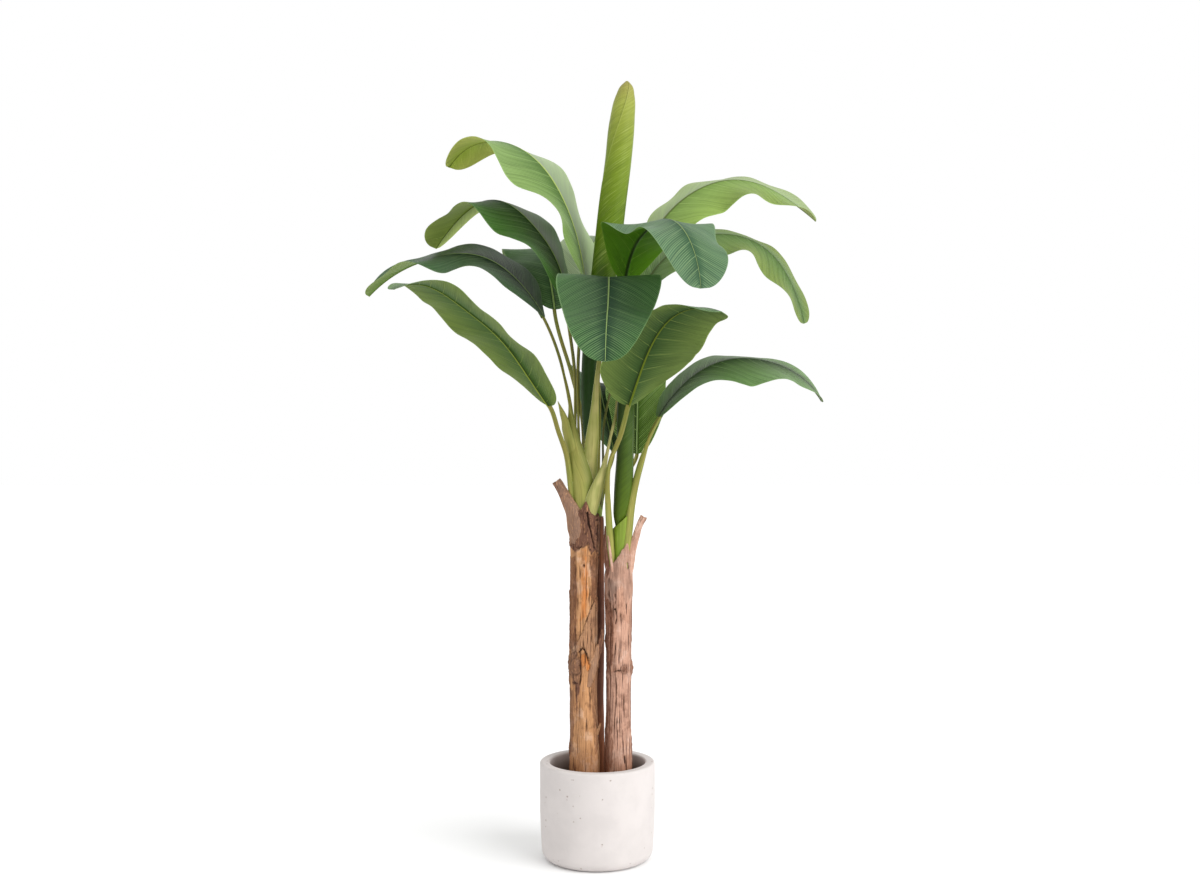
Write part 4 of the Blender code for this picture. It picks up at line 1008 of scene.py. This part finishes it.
def trunk_surface(side, sizes):
    """A trunk from its foot in the soil to its rim, over the rim, and down its socket.

    Radius = the trunk's radius plus the bark's relief; the rim's height rises as a cosine towards one side
    and is frayed by short fibres. The inner wall runs down the bore to a floor.
    """
    trunk = TRUNKS[side]
    sides, rings = (int(count * trunk.get("detail", 1.0)) for count in (sizes.around, sizes.rings))
    turn = np.arange(sides)[None, :] / sides
    around = 2 * np.pi * turn
    rise = trunk["rise"] * np.cos(around - math.radians(trunk["rise_to"]))
    level = np.float64(0.3)
    fray = 0.0022 * speckle(turn, level, 30, 0.1, trunk["seed"])
    top = trunk["rim"] + rise + (fray + 0.0015 * speckle(turn, level, 70, 0.1, trunk["seed"] + 1))
    for angle, height, half in trunk["peaks"]:
        top = top + height * bell((np.degrees(around) - angle + 180) % 360 - 180, half)
    heights = sizes.foot + (top - sizes.foot) * np.linspace(0, 1, rings)[:, None]
    relief, outer = bark_relief(side, turn, heights)
    known = np.array(trunk["shape"])
    radii = trunk["radius"] + relief + smooth_table(heights, known[:, 0], known[:, 1])
    radii = radii - 0.0012 * np.clip((heights - top + 0.012) / 0.012, 0, 1) ** 2
    down = np.linspace(0, 1, 10)[:, None]
    inner_top = top - 0.0006
    inner_heights = inner_top - (inner_top - trunk["rim"] + 0.030 + trunk["rise"]) * down
    inner_radii = trunk["bore"] + (radii[-1:] - trunk["bore"] - 0.0012) * (1 - down) ** 4
    heights = np.vstack([heights, inner_heights])
    points = ringed(*trunk["axis"], np.vstack([radii, inner_radii]), around, heights)
    columns = np.linspace(0, 1, sides + 1) * 2 * np.pi * trunk["radius"]
    uv = joined(np.hstack([heights, heights[:, :1]]), columns)
    # The socket's wall is painted with shade that deepens down the bore.
    inner = dict(grey=0.8, orange=0.0, brown=0.6, crack=0.3 + 0.7 * down, low=0.0, smooth=0.0)
    marks = {key: np.vstack([outer[key], value + 0 * inner_heights]) for key, value in inner.items()}
    return dict(points=points, uv=uv, marks=marks)


def husk_surface(husk, seed, rows=60, sides=28):
    """A dried leaf base: a flat oval carried along its path, grooved lengthwise and torn off at its end.

    The oval's broad way lies across both the path and the face; the last rows are shortened by a random fray.
    """
    share = np.linspace(0, 1, rows)
    path, half, thick = (through(husk[key], share) for key in ("path", "half", "thick"))
    along = unit(np.gradient(path, axis=0))
    face = math.radians(husk["face"])
    broad = unit(np.cross(along, np.array([math.cos(face), math.sin(face), 0.0])))
    out = np.cross(broad, along)
    share, half, thick = share[:, None], half[:, None], thick[:, None]
    turn = np.arange(sides)[None, :] / sides
    angle = 2 * np.pi * turn
    groove = 1 + 0.16 * speckle(turn, share * 0.15, 14, 0.20, seed)
    across = half * np.cos(angle) * (1 + 0.10 * speckle(turn, share, 6, 0.12, seed + 1))
    away = thick * np.sin(angle) * groove - 0.35 * half * np.cos(angle) ** 2 + 0.18 * half
    fray = 0.003 * speckle(turn, np.float64(0.2), 12, 0.1, seed + 2) * np.clip((share - 0.8) / 0.2, 0, 1)
    uv = joined(run_along(path)[:, None], np.linspace(0, 1, sides + 1) * 0.05)
    edge = np.abs(np.cos(angle)) ** 6
    crack = np.clip(-speckle(turn, share, 16, 0.3, seed + 3) - 0.45, 0, 1) * 0.9
    end = np.clip((share - 0.985) / 0.015, 0, 1)
    marks = dict(grey=husk["grey"] * (1.0 - 0.4 * edge - 0.3 * end), orange=0.3 * end,
                 brown=min(max(husk["brown"], 0.0), 1.0), crack=np.maximum(crack, 0.25 * end), rise=0.2,
                 margin=0.9 * edge * (husk["grey"] == 0), tone=0.5, smooth=0.85)
    return dict(points=carried(path, (across, broad), (away, out), (fray, along)), uv=uv, marks=marks)


def heading_and_climb(leaf, shares):
    """Unit vector along the midrib, the level vector to its left, and the upper side's normal."""
    heading, climb = (np.radians(through(leaf[key], shares)) for key in ("heading", "climb"))
    along = np.stack([np.cos(climb) * np.cos(heading), np.cos(climb) * np.sin(heading), np.sin(climb)], 1)
    left = np.stack([-np.sin(heading), np.cos(heading), np.zeros_like(heading)], 1)
    return along, left, np.cross(along, left)


def midrib(leaf, shares, count=200):
    """Points of the midrib: its directions added up in even steps, read off at the shares asked for."""
    steps = np.linspace(0, 1, count + 1)
    along = heading_and_climb(leaf, steps)[0]
    legs = (along[1:] + along[:-1]) / 2 * leaf["length"] / count
    rib = np.vstack([np.zeros(3), np.cumsum(legs, axis=0)]) + np.array(leaf["base"])
    return np.stack([np.interp(shares, steps, rib[:, k]) for k in range(3)], 1)


def width_share(shares, widest=0.40):
    """Half width as a share of the widest: a sine's power up to 40 % of the length, and another down to the
    tip."""
    rise = np.sin(np.clip(shares / widest, 0, 1) * np.pi / 2) ** 0.45
    fall = np.sin(np.clip((1 - shares) / (1 - widest), 0, 1) * np.pi / 2) ** 0.36
    return np.where(shares < widest, rise, fall)


def blade_surface(name, leaf, sizes):
    """One blade, upper skin and lower skin in one closed loop of columns.

    The middle sheet: from the midrib each half leaves at its fold angle, turned by the roll, and its edge
    waves grow with the square of the reach. The skins lie half the thickness to each side. Below, the midrib
    adds a round ridge that tapers to the tip, and above it adds a low double ridge with a groove between.
    """
    even = np.linspace(0, 1, sizes.rows)
    shares = 0.65 * even + 0.35 * (1 - np.cos(np.pi * even)) / 2
    place = shares[:, None]
    half = np.maximum(leaf.get("half", sizes.half_width) * width_share(place), 0.004 - 0.0028 * place)
    # Seven columns lie close together over the midrib, and closer still where the blade is narrow
    near = np.array([0.0, 0.0009, 0.0018, 0.0027, 0.0037, 0.0048, 0.0062])
    scale = np.minimum(1.0, half / 0.0150)
    wide = np.linspace(0, 1, 17)[1:]
    offsets = np.hstack([near * scale, near[-1] * scale + (half - near[-1] * scale) * wide])
    across = np.hstack([-offsets[:, ::-1], offsets[:, 1:]])
    reach = np.abs(across) / half
    left, normal = heading_and_climb(leaf, shares)[1:]
    roll = np.radians(ease(leaf["roll"], shares))[:, None]
    left, normal = left * np.cos(roll) + normal * np.sin(roll), normal * np.cos(roll) - left * np.sin(roll)
    side = np.where(across < 0, -1.0, 1.0)

    def each_half(left_value, right_value):
        return np.where(side > 0, left_value, right_value)

    fold = np.radians(each_half(ease(leaf["fold_left"], place), ease(leaf["fold_right"], place)))
    swell = np.sqrt(np.clip(np.sin(np.pi * place), 0, 1))
    waves = each_half(leaf["waves"], leaf.get("waves_right", leaf["waves"]))
    phase = waves * place + each_half(*leaf["start"])
    wave = each_half(*leaf["wave"]) * swell * np.sin(2 * np.pi * phase) * reach**2
    seed = sum(ord(letter) for letter in name)
    ripple = 0.0016 * swell * reach**3 * speckle(0.25 + 0.2 * side, place, 4, 0.055, seed)
    buckle = 0.0018 * swell * np.sin(np.pi * reach) * speckle(0.25 + 0.2 * side, place, 4, 0.11, seed + 1)
    out = side * (half * reach * np.cos(fold) + 0.5 * wave)
    up = half * reach * np.sin(fold) + wave + ripple + buckle
    sheet = carried(midrib(leaf, shares), (out, left), (up, normal))
    face = unit(np.cross(np.gradient(sheet, axis=0), np.gradient(sheet, axis=1)))
    face = face * np.sign((face * normal[:, None]).sum())
    skin = (sizes.thickness / 2 * np.clip((1 - reach) / 0.02, 0.35, 1))[..., None] * face
    rib_half = 0.0046 * (1 - 0.72 * place) * scale
    ridge = np.clip(1 - (np.abs(across) / (1.35 * rib_half)) ** 2, 0, 1)
    depth = (sizes.rib_depth * (1 - place) ** 0.75 + 0.0006) * ridge**0.75
    crest = bell(across, rib_half) - 1.3 * bell(across, 0.38 * rib_half)
    crest = 0.0015 * (1 - 0.75 * place) * scale * crest
    upper = sheet + skin + crest[..., None] * normal[:, None]
    lower = sheet - skin - depth[..., None] * normal[:, None]

    def both(top, bottom):
        return np.concatenate([top, bottom[:, ::-1]], axis=1)

    uv = joined(place * leaf["length"], across)
    columns = across.shape[1]
    slots = np.repeat([0, 1], columns)
    slots[columns - 1], slots[-1] = 0, 0
    core = bell(across, 0.95 * rib_half)
    return dict(points=both(upper, lower), uv=np.concatenate([both(uv, uv), uv[:, :1]], axis=1), slots=slots,
                marks=dict(reach=both(reach, reach), rib=both(core, core), place=place))


def stalk_line(leaf, rows):
    """Centre line of a stalk, its direction, and its length so far.

    A cubic runs through the stalk's points by chord length; it starts upright and ends along the blade's
    midrib.
    """
    along = heading_and_climb(leaf, np.array([0.0, 0.5]))[0][0]
    points = np.array([*leaf["stalk"], np.array(leaf["base"]) + along * 0.004])
    chords = run_along(points)
    slopes = np.gradient(points, chords, axis=0)
    slopes[-1] = along
    slopes[0] = (slopes[0] + np.array([0.0, 0.0, 1.0])) / 2
    spots = np.linspace(0, chords[-1], rows)
    index = np.clip(np.searchsorted(chords, spots, side="right") - 1, 0, len(points) - 2)
    gap = (chords[index + 1] - chords[index])[:, None]
    t = (spots - chords[index])[:, None] / gap
    path = hermite(points[index], points[index + 1], gap * slopes[index], gap * slopes[index + 1], t)
    return path, unit(np.gradient(path, axis=0)), spots


def stalk_surface(leaf, rows=100, sides=40):
    """A stalk: a channelled section carried along its line, which widens at the foot into a thin curved
    sheath.

    With q from -1 to 1 across, the outer side stands out by the thickness times the root of 1 - q^2. The
    inner side does the same inwards, less a channel that goes as 1 - q^2. Where it is broad, the whole
    section bends round the heart of the crown as a parabola.
    """
    path, along, run = stalk_line(leaf, rows)
    heights = path[:, 2]
    known = np.array(leaf["wide"])
    left_half, right_half = (smooth_table(heights, known[:, 0], known[:, k])[:, None] for k in (1, 2))
    broad = np.clip((left_half + right_half) / 2 - leaf["slim"] - 0.001, 0, 0.008) / 0.008
    start, end = leaf["turns"]
    heading = leaf["heading"][0]
    swing = (leaf["faces"] - heading + 180) % 360 - 180
    share = np.clip((heights - start) / (end - start), 0, 1)[:, None]
    turned = np.radians(heading + swing * (1 - eased(share)))
    out = np.concatenate([np.cos(turned), np.sin(turned), 0 * turned], 1)
    out = unit(out - (out * along).sum(1, keepdims=True) * along)
    angle = 2 * np.pi * (np.arange(sides) / sides)[None, :]
    q = np.cos(angle)
    round_off = np.sqrt(np.clip(1 - q**2, 0, 1))
    thick = leaf["slim"] * (1.25 - 0.65 * broad)
    channel = 0.80 * (1 - broad) * (1 - q**2)
    away = np.where(np.sin(angle) >= 0, thick * round_off, -thick * (0.75 * round_off - channel))
    across = np.where(q > 0, right_half, left_half) * q
    away = away - broad * across**2 / (2 * CROWN_RADIUS)
    uv = joined(run[:, None], np.linspace(0, 1, sides + 1) * 3.2 * (left_half + right_half) / 2)
    marks = dict(rise=(run / run[-1])[:, None], margin=np.abs(q) * (broad > 0.1), tone=leaf.get("tone", 0.5))
    return dict(points=carried(path, (across, np.cross(along, out)), (away, out)), uv=uv, marks=marks)


def heart_surface(heart, sides=48):
    """The core of a crown: a profile of (radius, height) carried round, its top cut on a slant."""
    points, uv = turned_surface(heart["profile"], sides)
    low, high = points[..., 2].min(), points[..., 2].max()
    points[..., 2] += heart["tilt"] * ((points[..., 2] - low) / (high - low)) ** 2 * points[..., 0] / 0.02
    points[..., :2] += np.array(heart["centre"])
    return dict(points=points, uv=uv, marks=dict(rise=0.3, tone=0.5), slot=1)


def roll_surface(roll, rows=200, sides=72):
    """A rolled leaf: the radius shrinks by 6 % round each ring from the seam, so the outer edge stands proud
    there.

    The seam's compass angle is read from its heights, and the ring starts and ends at it.
    """
    known = np.array(roll["path"])
    even = np.linspace(0, 1, rows)
    share = np.where(even < 0.8, even * 1.06, 0.848 + (even - 0.8) * 0.76)[:, None]
    heights = known[0, 2] + (known[-1, 2] - known[0, 2]) * share
    x, y, radius = (smooth_table(heights, known[:, 2], values)
                    for values in (known[:, 0], known[:, 1], roll["radius"]))
    turn = np.linspace(0, 1, sides)[None, :]
    angle = np.radians(np.interp(heights, roll["heights"], roll["seam"])) + 2 * np.pi * turn
    radii = np.maximum(radius, 0.0015) * (1 - 0.062 * turn + 0.012 * np.exp(-turn / 0.02))
    uv = joined(heights, turn * 2 * np.pi * np.maximum(radius, 0.004))
    return dict(points=ringed(x, y, radii, angle, heights), uv=np.concatenate([uv, uv[:, -1:]], 1),
                marks=dict(rise=share, margin=np.exp(-turn / 0.014), turn=turn))


class PLANT_OT_pot(bpy.types.Operator):
    """Builds the cement pot"""
    bl_idname = "plant.pot"
    bl_label = "Pot"

    def execute(self, context):
        sizes = context.scene.plant_pot
        rim, foot, corner = sizes.rim_round, sizes.foot_round, sizes.floor_round
        wall = np.linspace(sizes.height - rim, foot, 24)
        # The wall narrows towards the foot from this height on, over this much of it
        waist, narrowing = 0.13, 0.11
        share = np.clip((waist - wall) / narrowing, 0, 1)
        taper = sizes.radius - (sizes.radius - sizes.foot_radius) * share ** 1.6
        inner_wall = np.linspace(sizes.height - rim, sizes.floor + corner, 12)
        profile = np.vstack([
            [(0.002, sizes.floor), (0.060, sizes.floor)],
            rounded((sizes.bore - corner, sizes.floor + corner), corner, -90, 0, 6),
            np.stack([np.full(10, sizes.bore), inner_wall[-2:0:-1]], 1),
            rounded((sizes.bore + rim, sizes.height - rim), rim, 180, 90, 8),
            rounded((sizes.radius - rim, sizes.height - rim), rim, 90, 0, 8),
            np.stack([taper, wall], 1)[1:-1],
            rounded((sizes.foot_radius - foot, foot), foot, 0, -90, 14),
            [(0.060, 0.0), (0.002, 0.0)],
        ])
        points, uv = turned_surface(profile, 160, lambda turn, z: 0.0018 * speckle(turn, z, 5, 0.09, 3))
        radii, heights = np.hypot(points[..., 0], points[..., 1]), points[..., 2]
        # The inner mark grows from the rim down the inner wall, for its painted shade.
        inner = np.clip((sizes.height - 0.004 - heights) / 0.030, 0, 1) * (radii < sizes.bore + 0.006)
        inner = inner * (heights > sizes.floor - 0.001)
        pot = mesh_object("cement_pot", [dict(points=points, uv=uv, marks=dict(inner=inner))],
                          [cement_material(sizes)], 40)
        stand_for(pot, "cement", "pot")
        return {"FINISHED"}


class PLANT_OT_soil(bpy.types.Operator):
    """Fills the pot with compost"""
    bl_idname = "plant.soil"
    bl_label = "Soil"

    def execute(self, context):
        sizes = context.scene.plant_pot
        rings, sides = 60, 150
        middle, edge, bottom = 0.004, sizes.bore - 0.0006, sizes.floor + 0.002
        reach = np.linspace(middle, edge, rings)
        top = sizes.soil_top + sizes.soil_dome * (1 - (reach / edge) ** 2)
        profile = np.vstack([np.stack([reach, top], 1), [(edge, bottom), (middle, bottom)]])
        points, uv = turned_surface(profile, sides)
        turn, reach = np.arange(sides)[None, :] / sides, reach[:, None]
        lumps = speckle(turn, reach, 70, 0.006, 5) + 0.6 * speckle(turn, reach, 26, 0.014, 6)
        points[:rings, :, 2] += 0.0022 * lumps * np.clip(reach / 0.03, 0, 1)
        soil = mesh_object("compost", [dict(points=points, uv=uv)], [compost_material(sizes)], 60)
        stand_for(soil, "soil", "soil")
        return {"FINISHED"}


class PLANT_OT_trunks(bpy.types.Operator):
    """Builds the three trunks with their bark, dried leaf bases and loose flaps"""
    bl_idname = "plant.trunks"
    bl_label = "Trunks"

    def execute(self, context):
        sizes = context.scene.plant_bark
        skins = dict(left=bark_material("orange fibrous bark", sizes, sizes.tan),
                     right=bark_material("pale fibrous bark", sizes, sizes.rose),
                     back=bark_material("smooth brown bark", sizes, sizes.smooth, 0.7, 0.0))
        for side in TRUNKS:
            husks = [husk_surface(in_metres(husk), 60 + number) for number, husk in enumerate(HUSKS[side])]
            trunk = mesh_object("bark_" + side, [trunk_surface(side, sizes), *husks], [skins[side]], 70)
            stand_for(trunk, "dark_bark" if side == "back" else "bark", "trunk_" + side)
        return {"FINISHED"}


class PLANT_OT_crowns(bpy.types.Operator):
    """Builds the sheaths and stalks that grow out of each trunk"""
    bl_idname = "plant.crowns"
    bl_label = "Crowns"

    def execute(self, context):
        sizes = context.scene.plant_leaf
        skins = [stalk_material("living sheath", sizes.sheath, sizes.stalk),
                 stalk_material("young inner sheath", "#66861e", "#93a434")]
        for side in TRUNKS:
            parts = [stalk_surface(in_metres(leaf)) for leaf in LEAVES.values() if leaf["trunk"] == side]
            parts += [husk_surface(in_metres(WING), 90)] if side == "left" else []
            crown = mesh_object("stalks_" + side, [*parts, heart_surface(in_metres(HEARTS[side]))], skins, 60)
            stand_for(crown, "sheath", "crown_" + side)
        return {"FINISHED"}


class PLANT_OT_leaves(bpy.types.Operator):
    """Builds the open leaves"""
    bl_idname = "plant.leaves"
    bl_label = "Open Leaves"

    def execute(self, context):
        slots = {part["node"]: part["material_slot"] for part in frame["record"]["subparts"]}
        for name, leaf in LEAVES.items():
            words = name.replace("_", " ")
            skins = [blade_material("waxed upper skin of " + words, leaf, False),
                     blade_material("dull lower skin of " + words, leaf, True)]
            surface = blade_surface(name, in_metres(leaf), context.scene.plant_leaf)
            blade = mesh_object("blade_" + name.removeprefix("leaf_"), [surface], skins, 60)
            stand_for(blade, slots[name], name)
        return {"FINISHED"}


class PLANT_OT_rolls(bpy.types.Operator):
    """Builds the two leaves that are still rolled up"""
    bl_idname = "plant.rolls"
    bl_label = "Rolled Leaves"

    def execute(self, context):
        for name, roll in ROLLS.items():
            skin = roll_material("young leaf skin of " + name.replace("_", " "), roll)
            piece = mesh_object("young_" + name, [roll_surface(in_metres(roll))], [skin], 45)
            stand_for(piece, roll["slot"], name)
        return {"FINISHED"}


class PLANT_OT_stage(bpy.types.Operator):
    """Sets the floor, the light and the camera"""
    bl_idname = "plant.stage"
    bl_label = "Stage"

    def execute(self, context):
        sizes, scene = context.scene.plant_stage, context.scene
        x, y = np.meshgrid(np.linspace(-30, 30, 3), np.linspace(-30, 30, 3), indexing="ij")
        points = joined(x, y, 0)
        paper = new_material("matt studio paper", 0.9, specular=0.1)
        shade = colour([sizes.floor_grey] * 3)
        paper.node_tree.nodes["Principled BSDF"].inputs["Base Color"].default_value = shade
        floor = mesh_object("studio_floor", [dict(points=points, uv=points[..., :2], wrap=False)], [paper])
        if floor.data.polygons[0].normal.z < 0:
            floor.data.flip_normals()
        scene.world = bpy.data.worlds.new("soft white room")
        scene.world.use_nodes = True
        background = scene.world.node_tree.nodes["Background"]
        background.inputs["Color"].default_value = (1.0, 1.0, 1.0, 1.0)
        background.inputs["Strength"].default_value = sizes.room
        sun = bpy.data.lights.new("large soft key", "SUN")
        sun.energy = sizes.key
        sun.angle = math.radians(50)
        aim(sun, (2.2, -1.6, 2.4), (0.0, 0.0, 0.8))
        eye = bpy.data.cameras.new("view")
        eye.lens = sizes.lens
        eye.sensor_width = 36.0
        scene.camera = aim(eye, sizes.camera, (sizes.camera[0], 0.0, sizes.camera[2]))
        scene.view_settings.view_transform = "Standard"
        return {"FINISHED"}


def aim(data, place, target):
    """Puts a light or a camera at a place with its -Z side towards a target."""
    holder = bpy.data.objects.new(data.name, data)
    holder.location = place
    holder.rotation_euler = (Vector(target) - Vector(place)).to_track_quat("-Z", "Y").to_euler()
    bpy.context.scene.collection.objects.link(holder)
    return holder


class PLANT_PT_panel(bpy.types.Panel):
    """Lists the steps that build the plant"""
    bl_idname = "PLANT_PT_panel"
    bl_label = "Banana Plant"
    bl_space_type = "VIEW_3D"
    bl_region_type = "UI"
    bl_category = "Banana Plant"

    def draw(self, context):
        for step in STEPS:
            self.layout.operator("plant." + step)
        for group in GROUPS:
            settings = getattr(context.scene, group)
            for field in settings.__annotations__:
                self.layout.prop(settings, field)


STEPS = ("pot", "soil", "trunks", "crowns", "leaves", "rolls", "stage")
GROUPS = {"plant_pot": PotSizes, "plant_bark": BarkSizes, "plant_leaf": LeafSizes, "plant_stage": StageSizes}
CLASSES = (*GROUPS.values(), PLANT_OT_pot, PLANT_OT_soil, PLANT_OT_trunks, PLANT_OT_crowns, PLANT_OT_leaves,
           PLANT_OT_rolls, PLANT_OT_stage, PLANT_PT_panel)


def register():
    """Makes the classes and the scene's settings known."""
    for thing in CLASSES:
        bpy.utils.register_class(thing)
    for name, group in GROUPS.items():
        setattr(bpy.types.Scene, name, PointerProperty(type=group))


def unregister():
    """Takes the classes and the scene's settings away."""
    for name in GROUPS:
        delattr(bpy.types.Scene, name)
    for thing in reversed(CLASSES):
        bpy.utils.unregister_class(thing)


def main():
    """Builds every piece in order."""
    register()
    for step in STEPS:
        getattr(bpy.ops.plant, step)()
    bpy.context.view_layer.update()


if __name__ == "__main__":
    main()
